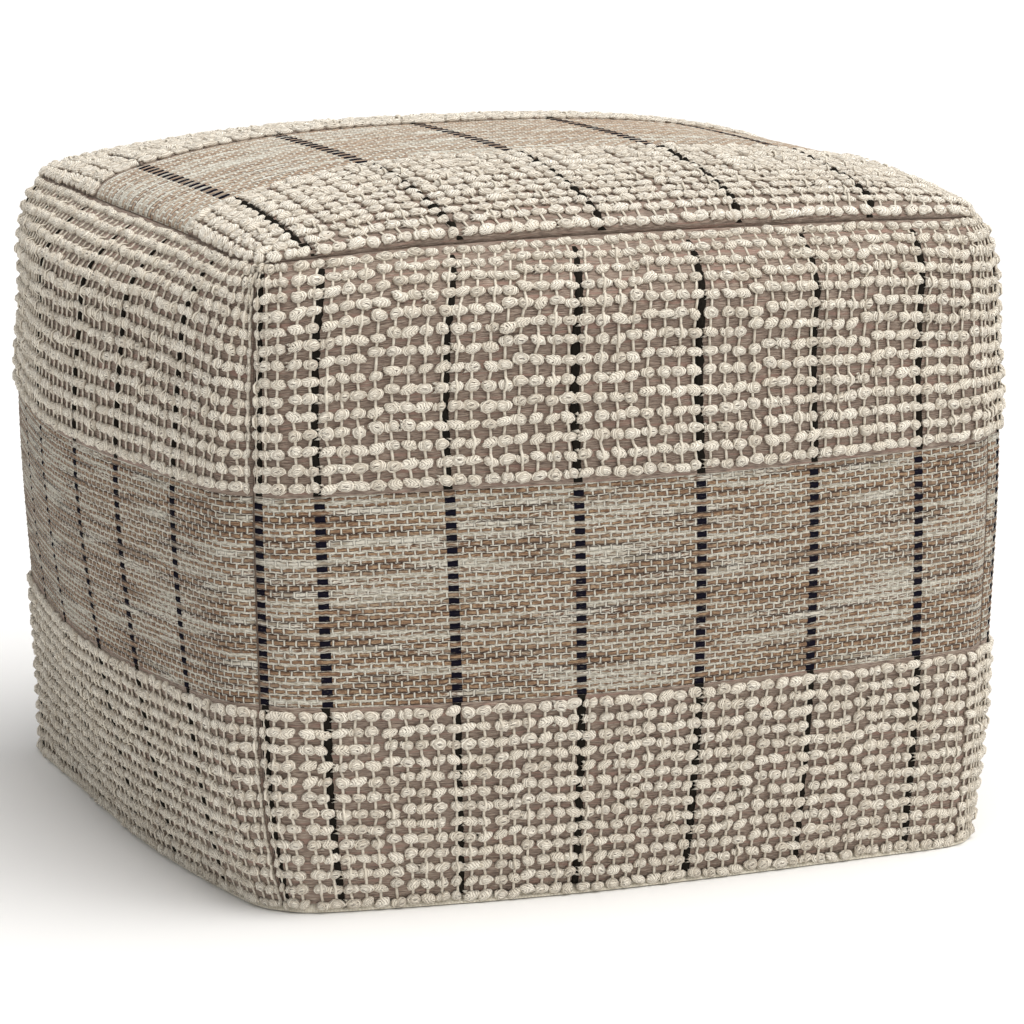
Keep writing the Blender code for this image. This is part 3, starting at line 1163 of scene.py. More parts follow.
@dataclass(frozen=True)
class TuftForm:
    """Three pointed yarn ends that stick out to the left, one above the other.

    Each is a cone of four sides. Its tip lies to the left of its base, at its own height.
    """

    yarns: int = 3
    sides: int = 4
    spacing: float = 0.30
    tip_spacing: float = 0.42
    base_out: float = 0.45
    tip_out: float = 0.30
    half_up: float = 0.13
    half_out: float = 0.30
    strays: Triple = (0.10, 0.04, 0.04)

    def shape(self, variants: int, rng: np.random.Generator) -> KnotShape:
        """Shape the variants, each point of which strays."""
        side = np.arange(self.sides)
        turns = side * 2.0 * math.pi / self.sides
        ring = np.stack([0.0 * turns, self.half_up * np.cos(turns), self.half_out * np.sin(turns)], -1)
        points = []
        for k in range(self.yarns):
            number = k - (self.yarns - 1) // 2
            tip = np.array([[-1.0, number * self.tip_spacing, self.tip_out]])
            points.append(np.concatenate([ring + [0.0, number * self.spacing, self.base_out], tip]))
        base = np.concatenate(points)[None]
        strayed = base + rng.normal(0.0, 1.0, (variants, base.shape[1], 3)) * np.array(self.strays)
        cone = np.stack([side, (side + 1) % self.sides, np.full(self.sides, self.sides)], -1)[:, ::-1]
        faces = copied_faces([cone, side[None, :]], self.yarns, self.sides + 1)
        pairs = strayed[..., :2] * NOMINAL_LENGTH
        return KnotShape(strayed, faces, corner_pairs(pairs, faces), np.zeros(strayed.shape[:2]))


@dataclass
class Spots:
    """Bobbles to set on a panel, one row of numbers each, lengths in metres.

    across and up are the place on the cloth, knot the kind, length, height and thick the size,
    tilt the turn within the cloth, and tone a random number of its own, 0 to 1.
    """

    across: Array
    up: Array
    knot: Array
    length: Array
    height: Array
    thick: Array
    tilt: Array
    tone: Array


class BobbleMaker:
    """Sets bobbles on a surface from a few variants of each kind."""

    variants: int = 32
    lowest: float = 0.0003

    def __init__(self, rng: np.random.Generator) -> None:
        """Shape every kind of bobble."""
        self.shapes = {knot: form.shape(self.variants, rng) for knot, form in KNOT_FORMS.items()}
        self.shapes[Knot.TUFT] = TuftForm().shape(self.variants, rng)

    def of_kind(self, knot: Knot, spots: Spots, chosen: Array, surface: Surface, level: float,
                rng: np.random.Generator) -> Patch:
        """Set all the bobbles of one kind.

        Each point is the spot's place plus its own shares times the bobble's size, along the
        cloth's directions there, turned by the tilt.

        Args:
            knot: the kind.
            spots: all the bobbles.
            chosen: which of them are of this kind.
            surface: the panel's surface.
            level: how far out from the form the ground lies.
            rng: picks the variants.

        Returns:
            One patch with all of them.
        """
        shape = self.shapes[knot]
        places = surface.places(spots.across[chosen], spots.up[chosen])
        count = int(chosen.sum())
        picked = rng.integers(0, self.variants, count)
        lengths = spots.length[chosen] * places.stretch
        sizes = np.stack([lengths, spots.height[chosen], spots.thick[chosen]], -1)
        local = shape.points[picked] * sizes[:, None, :]
        tilt = spots.tilt[chosen][:, None]
        cos, sin = np.cos(tilt), np.sin(tilt)
        a = local[..., 0] * cos - local[..., 1] * sin
        b = local[..., 0] * sin + local[..., 1] * cos
        c = local[..., 2] + level
        points = (places.at[:, None, :] + a[..., None] * places.along[:, None, :]
                  + b[..., None] * places.up[:, None, :] + c[..., None] * places.out[:, None, :])
        points[..., 2] = np.maximum(points[..., 2], self.lowest)
        size = shape.points.shape[1]
        faces = copied_faces(shape.faces, count, size)
        cuts = np.cumsum([part.size for part in shape.faces])[:-1]
        parts = np.split(shape.uv[picked], cuts, axis=1)
        uv = np.concatenate([part.reshape(-1, 2) for part in parts])
        # The bobble's painted shade, its random tone and whether it is a braid
        values = {
            "shaded_crease": shape.shaded_crease[picked].ravel(),
            "tone": np.repeat(spots.tone[chosen], size),
            "braided": np.full(count * size, float(knot == Knot.BRAID)),
        }
        return Patch(points.reshape(-1, 3), faces, uv, values)

    def set_on(self, surface: Surface, spots: Spots, level: float, rng: np.random.Generator) -> Patch:
        """Set all the bobbles on a surface and join them."""
        patches = []
        for knot in Knot:
            chosen = spots.knot == knot.value
            if chosen.any():
                patches.append(self.of_kind(knot, spots, chosen, surface, level, rng))
        return joined(patches)


# ---- Panels ----


@dataclass(frozen=True)
class Band:
    """A band of the cloth: its ends up the cloth and its number of rows."""

    start: float
    end: float
    rows: int

    @property
    def pitch(self) -> float:
        """The distance from row to row."""
        return (self.end - self.start) / self.rows


@dataclass(frozen=True)
class BobbleBand(Band):
    """A bobbled band, with how far its black warps stand out."""

    bar_share: float = 1.0


@dataclass(frozen=True)
class ClothPattern:
    """Sizes of the banded cloth, in metres."""

    stripe_pitch: float = 0.0635
    columns_per_stripe: int = 8
    stripe_half: float = 0.0023
    stripe_lift: float = 0.0014
    stripe_swell: float = 0.30
    bar_offset: float = 0.28
    bar_stray: float = 0.16
    bobble_height: float = 0.0059
    bobble_thick: float = 0.0036
    ground: float = -0.0020
    flat: float = -0.0021
    float_width: float = 0.00150
    float_lift: float = 0.0009
    over_share: float = 0.15
    short_share: float = 0.20
    tuft_share: float = 0.60
    loose_share: float = 0.05
    tuft_length: float = 0.0030
    step_height: float = 0.0011
    wander: float = 0.00015
    # Strays of the columns, and of single bobbles along the row and up the cloth
    column_stray: float = 0.00045
    along_stray: float = 0.00025
    up_stray: float = 0.00022
    # The step between stripes: its stray in columns, its unevenness in shares, and the rows over
    # which it grows from the flat band and fades towards the other end
    step_stray: float = 0.6
    step_unevenness: float = 0.25
    step_grows: float = 4.0
    step_fades: float = 3.0
    # The rows wander by two waves: radians a metre across, radians a row, and share
    wave: Triple = (31.0, 0.7, 1.0)
    ripple: Triple = (57.0, -1.1, 0.6)
    # Ranges of a bobble's length in columns, and of its height, thickness and yarn ends in shares
    lengths: Pair = (0.82, 1.08)
    heights: Pair = (0.84, 1.08)
    thicks: Pair = (0.75, 1.15)
    tuft_lengths: Pair = (0.6, 1.2)
    # Ovals are larger. Short bobbles leave their stripe free, and yarn ends start off the middle
    oval_growth: float = 1.04
    short_length: float = 0.80
    short_shift: float = 0.12
    tuft_shift: float = 0.36
    tilt: float = 0.09
    # A float's depth in shares of its width, and its map in millimetres: round each side of the
    # float, and the run of yarn on which it starts
    float_depth: float = 0.84
    float_side: float = 0.5
    yarn_run: float = 400.0
    # Where a joining float starts, in shares of half a bobble's height, its lean and its shades
    float_start: float = 0.55
    float_lean: float = 0.00025
    float_shades: Pair = (0.3, 1.0)
    # A float over a bobble: its points, its crest in shares of the bobble's thickness, its drift
    # and its shades
    over_path: tuple[float, ...] = (-1.12, -0.50, 0.50, 1.12)
    over_crest: float = 0.90
    over_drift: float = 0.0003
    over_shades: Pair = (0.4, 1.0)
    # A black warp: its points across, its lines to a row, how far its edges turn under in
    # radians, the unevenness of its width, its drift, and its share of height at a band's end
    bar_points: int = 6
    bar_lines: int = 4
    bar_under: float = 0.12
    bar_unevenness: float = 0.09
    bar_drift: float = 0.00018
    bar_end: float = 0.3

    @property
    def column_pitch(self) -> float:
        """The distance from float to float along a row."""
        return self.stripe_pitch / self.columns_per_stripe


@dataclass(frozen=True)
class ClothGrid:
    """How finely a panel's cloth is made: coarse columns, split further in the flat band."""

    coarse: int = 69
    split: int = 2
    lines_per_row: int = 2
    # The weave's relief, out from the flat band's level, in metres
    brick: float = 0.00034
    tick: float = 0.00004
    dash: float = 0.00045
    valley: float = -0.00018
    unevenness: float = 0.00003
    # Half a dash's length in millimetres, and the width of the step down to the flat band
    dash_half: float = 2.4
    step_width: float = 0.0008


@dataclass
class BobbleGrid:
    """Where the bobbles of one band stand: arrays (rows, columns) of across and up."""

    across: Array
    up: Array


@dataclass
class ClothPanel:
    """One panel of the banded cloth, dressed with bobbles, floats and black warps."""

    name: str
    surface: Surface
    bands: tuple[BobbleBand, ...]
    flat_band: Band
    stripes: Array
    pattern: ClothPattern
    seed: int
    step_sign: float = 1.0
    cloth: ClothGrid = ClothGrid()
    edge_margin: float = 0.0006
    least_share: float = 0.35
    beside_share: float = 0.3

    def __post_init__(self) -> None:
        """Start the panel's own random draws and find its columns of bobbles."""
        self.rng = np.random.default_rng(self.seed)
        pitch = self.pattern.column_pitch
        first = self.stripes[0] - self.pattern.bar_offset * pitch
        reach = self.surface.half_across - self.edge_margin
        low = math.ceil((-reach - first) / pitch + 0.5)
        high = math.floor((reach - first) / pitch - 0.5)
        whole = first + np.arange(low, high + 1) * pitch
        edges = np.concatenate([[-reach], whole - pitch / 2.0, [whole[-1] + pitch / 2.0, reach]])
        for end, near in ((0, 1), (-1, -2)):
            if abs(edges[near] - edges[end]) < self.least_share * pitch:
                edges = np.delete(edges, near)
        self.columns = (edges[:-1] + edges[1:]) / 2.0
        self.widths = np.diff(edges)
        to_bar = self.columns[:, None] + self.pattern.bar_offset * pitch - self.stripes
        self.beside_bar = (np.abs(to_bar) < self.beside_share * pitch).any(-1)
        order = np.argsort(self.stripes)
        shifts = self.rng.uniform(-1.0, 1.0, len(order)) * self.pattern.bar_stray * pitch
        strays = np.interp(self.columns, self.stripes[order], shifts)
        strays = strays + self.rng.normal(0.0, self.pattern.column_stray, len(self.columns))
        strays[[0, -1]] = 0.0
        self.column_strays = strays

    def from_stripe(self, across: Array) -> Array:
        """Give the distance to the nearest stripe, in millimetres."""
        return np.abs(across[..., None] - self.stripes).min(-1) / MM

    # ---- bobbles ----

    def grid(self, band: BobbleBand) -> BobbleGrid:
        """Place a band's bobbles: even rows, uneven columns, with steps, wander and jitter.

        A row falls slowly over each stripe's width and steps back up between two stripes, not at
        all beside the flat band and fully a few rows away. A slow wave is added to it.
        """
        rng, pattern = self.rng, self.pattern
        rows = np.arange(band.rows)[:, None]
        shape = (band.rows, len(self.columns))
        across = self.columns[None, :] + self.column_strays + rng.normal(0.0, pattern.along_stray, shape)
        below = band.start < self.flat_band.start
        from_flat = band.rows - 1 - rows if below else rows
        from_end = band.rows - 1 - from_flat
        fade = 0.5 + 0.5 * eased((from_end + 0.5) / pattern.step_fades)
        swing = eased(from_flat / pattern.step_grows) * fade
        step_at = rng.uniform(-pattern.step_stray, pattern.step_stray, (band.rows, 1)) * pattern.column_pitch
        phase = (across - self.stripes[0] - step_at) / pattern.stripe_pitch + 0.5
        climb = 2.0 * (phase - np.floor(phase)) - 1.0
        wave = 0.0
        for (along, climbing, share), start in ((pattern.wave, self.seed), (pattern.ripple, 0)):
            wave = wave + share * np.sin(across * along + rows * climbing + start)
        steps = rng.uniform(1.0 - pattern.step_unevenness, 1.0 + pattern.step_unevenness, (band.rows, 1))
        up = band.start + (rows + 0.5) * band.pitch
        up = up - self.step_sign * pattern.step_height * swing * climb * steps
        up = up + pattern.wander * swing * wave + rng.normal(0.0, pattern.up_stray, shape)
        return BobbleGrid(across, up)

    def spots(self, grid: BobbleGrid) -> Spots:
        """Choose a kind, a size and a shade for each bobble of a grid, and add the yarn ends."""
        rng, pattern = self.rng, self.pattern
        shape = grid.across.shape
        kinds = rng.choice([knot.value for knot in KNOT_SHARES], shape, p=list(KNOT_SHARES.values()))
        growth = np.where(kinds == Knot.OVAL.value, pattern.oval_growth, 1.0)
        length = self.widths * rng.uniform(*pattern.lengths, shape) * growth
        short = self.beside_bar & (rng.uniform(size=shape) < pattern.short_share)
        length = np.where(short, length * pattern.short_length, length)
        across = grid.across - np.where(short, pattern.short_shift * self.widths, 0.0)
        height = pattern.bobble_height * rng.uniform(*pattern.heights, shape) * growth
        thick = pattern.bobble_thick * rng.uniform(*pattern.thicks, shape)
        tilt = rng.normal(0.0, pattern.tilt, shape)
        tone = rng.uniform(0.0, 1.0, shape)
        after_bar = np.concatenate([[False], self.beside_bar[:-1]])
        tufted = after_bar & (rng.uniform(size=shape) < pattern.tuft_share)
        tufted = tufted | (rng.uniform(size=shape) < pattern.loose_share)
        columns = [np.concatenate([part.ravel(), part[tufted]]) for part in (
            across, grid.up, kinds, length, height, thick, tilt, tone)]
        across, up, kinds, length, height, thick, tilt, tone = columns
        tufts = slice(tufted.size, None)
        across[tufts] -= pattern.tuft_shift * length[tufts]
        kinds[tufts] = Knot.TUFT.value
        length[tufts] = pattern.tuft_length * rng.uniform(*pattern.tuft_lengths, int(tufted.sum()))
        return Spots(across, up, kinds, length, height, thick, tilt, tone)

    # ---- floats ----

    def strand(self, points: Array, up_steps: Array, tone: Array) -> Patch:
        """Carry a four-sided strand along paths and close its ends.

        The section is a diamond, wider than deep, whose corners lie across the cloth, out of it
        and into it.

        Args:
            points: the paths on the cloth as (count, steps, 3): across, up and lift.
            up_steps: the places along each path, in millimetres, for the map.
            tone: the shade of each strand.

        Returns:
            One patch with all the strands.
        """
        pattern = self.pattern
        count, steps = points.shape[:2]
        flat = points.reshape(-1, 3)
        places = self.surface.places(flat[:, 0], flat[:, 1])
        deep = 0.5 * pattern.float_depth
        sides = np.array([[-0.5, 0.0], [0.0, deep], [0.5, 0.0], [0.0, -deep]]) * pattern.float_width
        base = places.at + flat[:, 2:3] * places.out
        ring = (base[:, None, :] + sides[None, :, 0:1] * places.along[:, None, :]
                + sides[None, :, 1:2] * places.out[:, None, :])
        # Rings climb along the cloth, so the tube's own order is turned round.
        faces = copied_faces(tube_faces(steps, 4), count, steps * 4, turned=True)
        spoke = np.arange(5) * pattern.float_side
        low = np.repeat(up_steps[:, :-1], 4, axis=1)
        high = np.repeat(up_steps[:, 1:], 4, axis=1)
        here = np.tile(spoke[:-1], steps - 1)[None, :] + np.zeros_like(low)
        after = np.tile(spoke[1:], steps - 1)[None, :] + np.zeros_like(low)
        corner_u = np.stack([high, high, low, low], -1)
        corner_v = np.stack([here, after, after, here], -1)
        uv = np.stack([corner_u, corner_v], -1).reshape(-1, 2)
        uv = np.concatenate([uv, np.zeros((faces[1].size, 2))])
        # Painted shade on each corner: none out of the cloth, some on the sides, most on the corner that
        # faces into it
        values = {
            "shaded_crease": np.tile([0.3, 0.0, 0.3, 1.0], count * steps),
            "tone": np.repeat(tone, steps * 4),
        }
        return Patch(ring.reshape(-1, 3), faces, uv, values)

    def floats(self, grid: BobbleGrid) -> Patch:
        """Join each bobble to the one above it, and carry some floats over a bobble's face."""
        rng, pattern = self.rng, self.pattern
        half = pattern.bobble_height / 2.0
        level = pattern.ground + pattern.float_lift
        ends = np.stack([grid.up[:-1].ravel() + pattern.float_start * half,
                         grid.up[1:].ravel() - pattern.float_start * half])
        count = ends.shape[1]
        sides = np.stack([grid.across[:-1].ravel(), grid.across[1:].ravel()])
        sides = sides + rng.normal(0.0, pattern.float_lean, (2, count))
        path = np.stack([sides.T, ends.T, np.full((count, 2), level)], -1)
        start = rng.uniform(0.0, pattern.yarn_run, count)
        steps = np.stack([start, start + (ends[1] - ends[0]) / MM], -1)
        between = self.strand(path, steps, rng.uniform(*pattern.float_shades, count))
        over = rng.uniform(size=grid.across.shape) < pattern.over_share
        over[[0, -1]] = False
        across, up = grid.across[over], grid.up[over]
        ups = np.array(pattern.over_path) * half
        shape = (len(across), len(ups))
        crest = pattern.ground + pattern.bobble_thick * pattern.over_crest
        lifts = np.broadcast_to([level, crest, crest, level], shape)
        drift = rng.normal(0.0, pattern.over_drift, shape)
        path = np.stack([across[:, None] + drift, up[:, None] + ups, lifts], -1)
        steps = rng.uniform(0.0, pattern.yarn_run, (len(across), 1)) + (ups - ups[0]) / MM
        crossing = self.strand(path, steps, rng.uniform(*pattern.over_shades, len(across)))
        return joined([between, crossing])

    # ---- black warps ----

    def bars(self, band: BobbleBand) -> Patch:
        """Lay the black warps of a band: a low rounded strip along each stripe.

        Its points lie on half an ellipse. The strip swells in the windows between the rows and
        sinks under the bobbles and at the band's ends.
        """
        rng, pattern = self.rng, self.pattern
        reach = self.surface.half_across - self.edge_margin - pattern.stripe_half
        stripes = self.stripes[np.abs(self.stripes) < reach]
        lines = band.rows * pattern.bar_lines + 1
        start, end = self.surface.ends
        up = np.linspace(max(band.start, start), min(band.end, end), lines)
        angles = np.linspace(-pattern.bar_under, math.pi + pattern.bar_under, pattern.bar_points)
        rows = (up - band.start) / band.pitch
        swell = 1.0 - pattern.stripe_swell + pattern.stripe_swell * np.cos(2.0 * math.pi * rows)
        taper = eased(np.minimum(rows, band.rows - rows))
        swell = swell * (pattern.bar_end + (1.0 - pattern.bar_end) * taper)
        shape = (len(stripes), lines, 1)
        width = pattern.stripe_half * (1.0 + rng.normal(0.0, pattern.bar_unevenness, shape))
        drift = rng.normal(0.0, pattern.bar_drift, shape)
        across = stripes[:, None, None] + drift - np.cos(angles) * width
        crest = pattern.stripe_lift * band.bar_share * np.sin(angles)
        lift = pattern.ground + crest * swell[None, :, None] + 0.0 * across
        ups = np.broadcast_to(up[None, :, None], across.shape)
        places = self.surface.places(across.ravel(), ups.ravel())
        points = places.at + lift.reshape(-1, 1) * places.out
        tube = tube_faces(lines, len(angles))
        faces = copied_faces(tube, len(stripes), lines * len(angles), turned=True)
        pairs = np.stack([ups.ravel() / MM, across.ravel() / MM], -1)
        values = {"shaded_crease": np.zeros(len(points)), "tone": np.full(len(points), 0.5)}
        return Patch(points, faces, corner_pairs(pairs, faces), values)

    # ---- pieces ----

    def dress(self, maker: BobbleMaker, yarns: "Yarns") -> None:
        """Make the panel's bobbles, floats and black warps."""
        grids = [self.grid(band) for band in self.bands]
        bobbles = joined([
            maker.set_on(self.surface, self.spots(grid), self.pattern.ground, self.rng) for grid in grids])
        make_piece(f"{self.name}_bobbles", bobbles, [yarns.wound])
        floats = joined([self.floats(grid) for grid in grids])
        make_piece(f"{self.name}_floats", floats, [yarns.float])
        bars = joined([self.bars(band) for band in self.bands])
        make_piece(f"{self.name}_black_warps", bars, [yarns.black])


def split_faces(low_start: int, high_start: int, grid: ClothGrid, low_is_coarse: bool) -> Array:
    """Join a coarse line of points to a fine one with triangles.

    Under each coarse step lie split fine steps. The fine steps of its first half meet the
    step's first point, those of its second half meet its last one, and one triangle stands on
    the coarse step itself.
    """
    step, split = np.arange(grid.coarse), grid.split
    coarse_at = low_start if low_is_coarse else high_start
    fine_at = high_start if low_is_coarse else low_start
    first, last = coarse_at + step, coarse_at + step + 1
    faces = []
    for part in range(split):
        near = first if part < split / 2 else last
        here = fine_at + step * split + part
        faces.append(np.stack([near, here + 1, here], -1))
    middle = fine_at + step * split + split // 2
    faces.append(np.stack([first, last, middle], -1))
    triangles = np.concatenate(faces)
    return triangles if low_is_coarse else triangles[:, ::-1]


@dataclass
class ClothLine:
    """A line of points across a panel's cloth, at one place up it: their places and relief."""

    across: Array
    up: float
    fine: bool
    relief: Array


@dataclass
class ClothSheet:
    """The outer cloth of a panel as lines of points: coarse lines, and fine ones in the flat band."""

    panel: ClothPanel

    def weave_relief(self, column: Array, line: int, stripe: Array) -> Array:
        """Give the flat band's relief along one line.

        Odd lines run along the middle of a weft row and even ones between two rows. Each column
        is a warp. A warp that shows is a low tick, one that hides lifts its brick, and a dark
        stripe's dashes stand proudest.
        """
        grid = self.panel.cloth
        row, in_row = divmod(line, 2)
        if not in_row:
            return np.full(len(column), grid.valley)
        relief = np.where((column + row) % 2 == 0, grid.tick, grid.brick)
        dashed = (row % 2 == 0) & (stripe < grid.dash_half)
        return np.where(dashed, grid.dash, relief)

    def lines(self) -> list[ClothLine]:
        """List the cloth's lines up the panel."""
        panel, grid = self.panel, self.panel.cloth
        half = panel.surface.half_across
        coarse = np.linspace(-half, half, grid.coarse + 1)
        fine_count = grid.coarse * grid.split
        fine = np.linspace(-half, half, fine_count + 1)
        column = np.arange(fine_count + 1) - fine_count // 2
        stripe = panel.from_stripe(fine)
        lines = []
        for up, number in self.stations():
            if number is None:
                lines.append(ClothLine(coarse, up, False, np.full(len(coarse), panel.pattern.ground)))
                continue
            relief = self.weave_relief(column, number, stripe)
            relief[[0, -1]] = grid.valley
            relief = panel.pattern.flat + relief + panel.rng.normal(0.0, grid.unevenness, len(column))
            lines.append(ClothLine(fine, up, True, relief))
        return lines

    def stations(self) -> list[tuple[float, int | None]]:
        """List the lines' places up the cloth, each with its number in the flat band, if it has one."""
        panel, grid = self.panel, self.panel.cloth
        flat = panel.flat_band
        start, end = panel.surface.ends
        counts = [grid.lines_per_row * band.rows + 1 for band in panel.bands]
        below = np.linspace(start, flat.start - grid.step_width, counts[0])
        woven = np.linspace(flat.start, flat.end, 2 * flat.rows + 1)
        above = np.linspace(flat.end + grid.step_width, end, counts[1])
        numbered = [(float(up), number) for number, up in enumerate(woven)]
        return [(float(up), None) for up in below] + numbered + [(float(up), None) for up in above]

    def build(self) -> tuple[Patch, list[Array]]:
        """Build the outer cloth and give it with the point numbers of its lines."""
        lines = self.lines()
        counts = [len(line.across) for line in lines]
        starts = np.concatenate([[0], np.cumsum(counts)])
        across = np.concatenate([line.across for line in lines])
        up = np.repeat([line.up for line in lines], counts)
        points = self.panel.surface.place(across, up, np.concatenate([line.relief for line in lines]))
        quads, triangles, quad_slots = [], [], []
        for k, (line, after) in enumerate(zip(lines[:-1], lines[1:])):
            if line.fine == after.fine:
                part = grid_faces(2, counts[k]) + starts[k]
                quads.append(part)
                quad_slots.append(np.full(len(part), int(line.fine)))
            else:
                triangles.append(split_faces(starts[k], starts[k + 1], self.panel.cloth, not line.fine))
        faces = [np.concatenate(triangles), np.concatenate(quads)]
        slots = np.concatenate([np.zeros(len(faces[0]), int), np.concatenate(quad_slots)])
        pairs = np.stack([across / MM, up / MM], -1)
        values = {"stripe": self.panel.from_stripe(across)}
        rows = [np.arange(start, start + count) for start, count in zip(starts, counts)]
        return Patch(points, faces, corner_pairs(pairs, faces), values, slots), rows


def closed_up(patch: Patch, rings: list[Array], inside: Array) -> Patch:
    """Close a cloth with faces of many corners, after adding points inside, far from any stripe."""
    faces = patch.faces + [ring[None, :] for ring in rings]
    uv = np.concatenate([patch.uv] + [np.zeros((len(ring), 2)) for ring in rings])
    slots = np.concatenate([patch.slots, np.zeros(len(rings), int)])
    stripe = np.concatenate([patch.values["stripe"], np.full(len(inside), NO_STRIPE)])
    return Patch(np.concatenate([patch.points, inside]), faces, uv, {"stripe": stripe}, slots)


def make_cloth(panel: str, patch: Patch, materials: list[Material]) -> None:
    """Make a panel's closed cloth, which replaces its solid and holds its share of the stuffing."""
    piece = make_piece(f"{panel}_cloth", patch, materials, closed=True)
    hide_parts(panel)


def side_cloth(panel: ClothPanel, surface: SideSurface, materials: list[Material]) -> None:
    """Make a side panel's cloth, closed to the pouf's middle."""
    patch, rows = ClothSheet(panel).build()
    x, y = quarter_turned(0.0, -FORM.gap / math.sqrt(2.0), surface.quarter_turns)
    low, high = patch.points[rows[0][0], 2], patch.points[rows[-1][0], 2]
    tip = len(patch.points)
    starts = np.array([row[0] for row in rows])
    ends = np.array([row[-1] for row in rows])
    rings = [np.concatenate([[tip], rows[0][::-1]]), np.concatenate([[tip + 1], rows[-1]]),
             np.concatenate([[tip + 1, tip], starts]), np.concatenate([[tip, tip + 1], ends[::-1]])]
    patch = closed_up(patch, rings, np.array([[x, y, low], [x, y, high]]))
    make_cloth(panel.name, patch, materials)


def top_cloth(panel: ClothPanel, materials: list[Material]) -> None:
    """Make the top panel's cloth, closed flat at the seam under its crown."""
    patch, rows = ClothSheet(panel).build()
    rim = np.concatenate([rows[0][:-1], [row[-1] for row in rows[:-1]], rows[-1][:0:-1],
                          [row[0] for row in rows[:0:-1]]])
    make_cloth(panel.name, closed_up(patch, [rim[::-1]], np.zeros((0, 3))), materials)


def corner_shares(steps: int) -> Array:
    """Give shares from one corner seam towards the other, closer together near both corners."""
    return np.sin(np.linspace(-1.0, 1.0, steps + 1) * math.pi / 2.0)[:-1]


def base_cloth(material: Material, steps: int = 48) -> None:
    """Make the base panel: a flat cream canvas slab with a rolled edge, flat where it stands.

    Rings of points follow the pouf's outline at each height, drawn in under the edge.
    """
    shares = corner_shares(steps)
    # height, how far out of the outline
    edge = ((0.0, -0.0026), (0.0002, -0.0010), (0.0006, 0.0002), (0.0012, 0.0002), (0.0020, -0.0010),
            (0.0034, -0.0028), (FORM.base_top - FORM.gap / 2.0, -0.0030))
    rings = []
    for height, out in edge:
        x, y = FORM.side_line(height, out, shares)
        for quarters in range(4):
            rings.append(np.stack([*quarter_turned(x, -y, quarters), np.full(steps, height)], -1))
    points = FORM.settled(np.concatenate(rings))
    faces = tube_faces(len(edge), steps * 4)
    patch = Patch(points, faces, corner_pairs(points[:, :2] / MM, faces))
    make_cloth("base_panel", patch, [material])


def thread(line: Array, half: float) -> Patch:
    """Carry a thin four-sided thread along a line of points on the form.

    The section's corners lie out of the cloth, to both sides and into it, each half a thread's
    width from the line.
    """
    points = FORM.settled(line)
    out = unit(line * np.array([1.0, 1.0, 0.0]))
    side = unit(np.cross(unit(np.gradient(points, axis=0)), out))
    turns = np.arange(4)[None, :, None] * math.pi / 2.0
    rings = points[:, None] + half * (np.cos(turns) * out[:, None] + np.sin(turns) * side[:, None])
    faces = tube_faces(len(points), 4)
    length = arc_to(points)[:, None] / MM
    pairs = np.stack(np.broadcast_arrays(length, np.arange(4.0)[None, :]), -1).reshape(-1, 2)
    values = {"shaded_crease": np.zeros(len(points) * 4), "tone": np.full(len(points) * 4, 0.5)}
    return Patch(rings.reshape(-1, 3), faces, corner_pairs(pairs, faces), values)


def seam_threads(material: Material, half: float = 0.0008, sunk: float = 0.0024,
                 levels: int = 61, steps: int = 40) -> None:
    """Make the threads that close the four corner seams and the seam round the top panel.

    Args:
        material: the thread's material.
        half: half the thread's width.
        sunk: how far inside the form it lies.
        levels: its points up a corner seam.
        steps: its points along each side of the top seam.
    """
    heights = np.linspace(FORM.base_top, FORM.top_seam, levels)
    x, y = FORM.side_line(heights, -sunk, np.ones(levels))
    rim_x, rim_y = FORM.side_line(FORM.top_seam, -sunk, corner_shares(steps))
    threads, rims = [], []
    for quarters in range(4):
        corner = np.stack([*quarter_turned(x, -y, quarters), heights], -1)
        threads.append(thread(corner, half))
        rims.append(np.stack([*quarter_turned(rim_x, -rim_y, quarters), np.full(steps, FORM.top_seam)], -1))
    threads.append(thread(np.concatenate(rims + [rims[0][:1]]), half))
    make_piece("seam_threads", joined(threads), [material], closed=True)


# ---- Studio ----


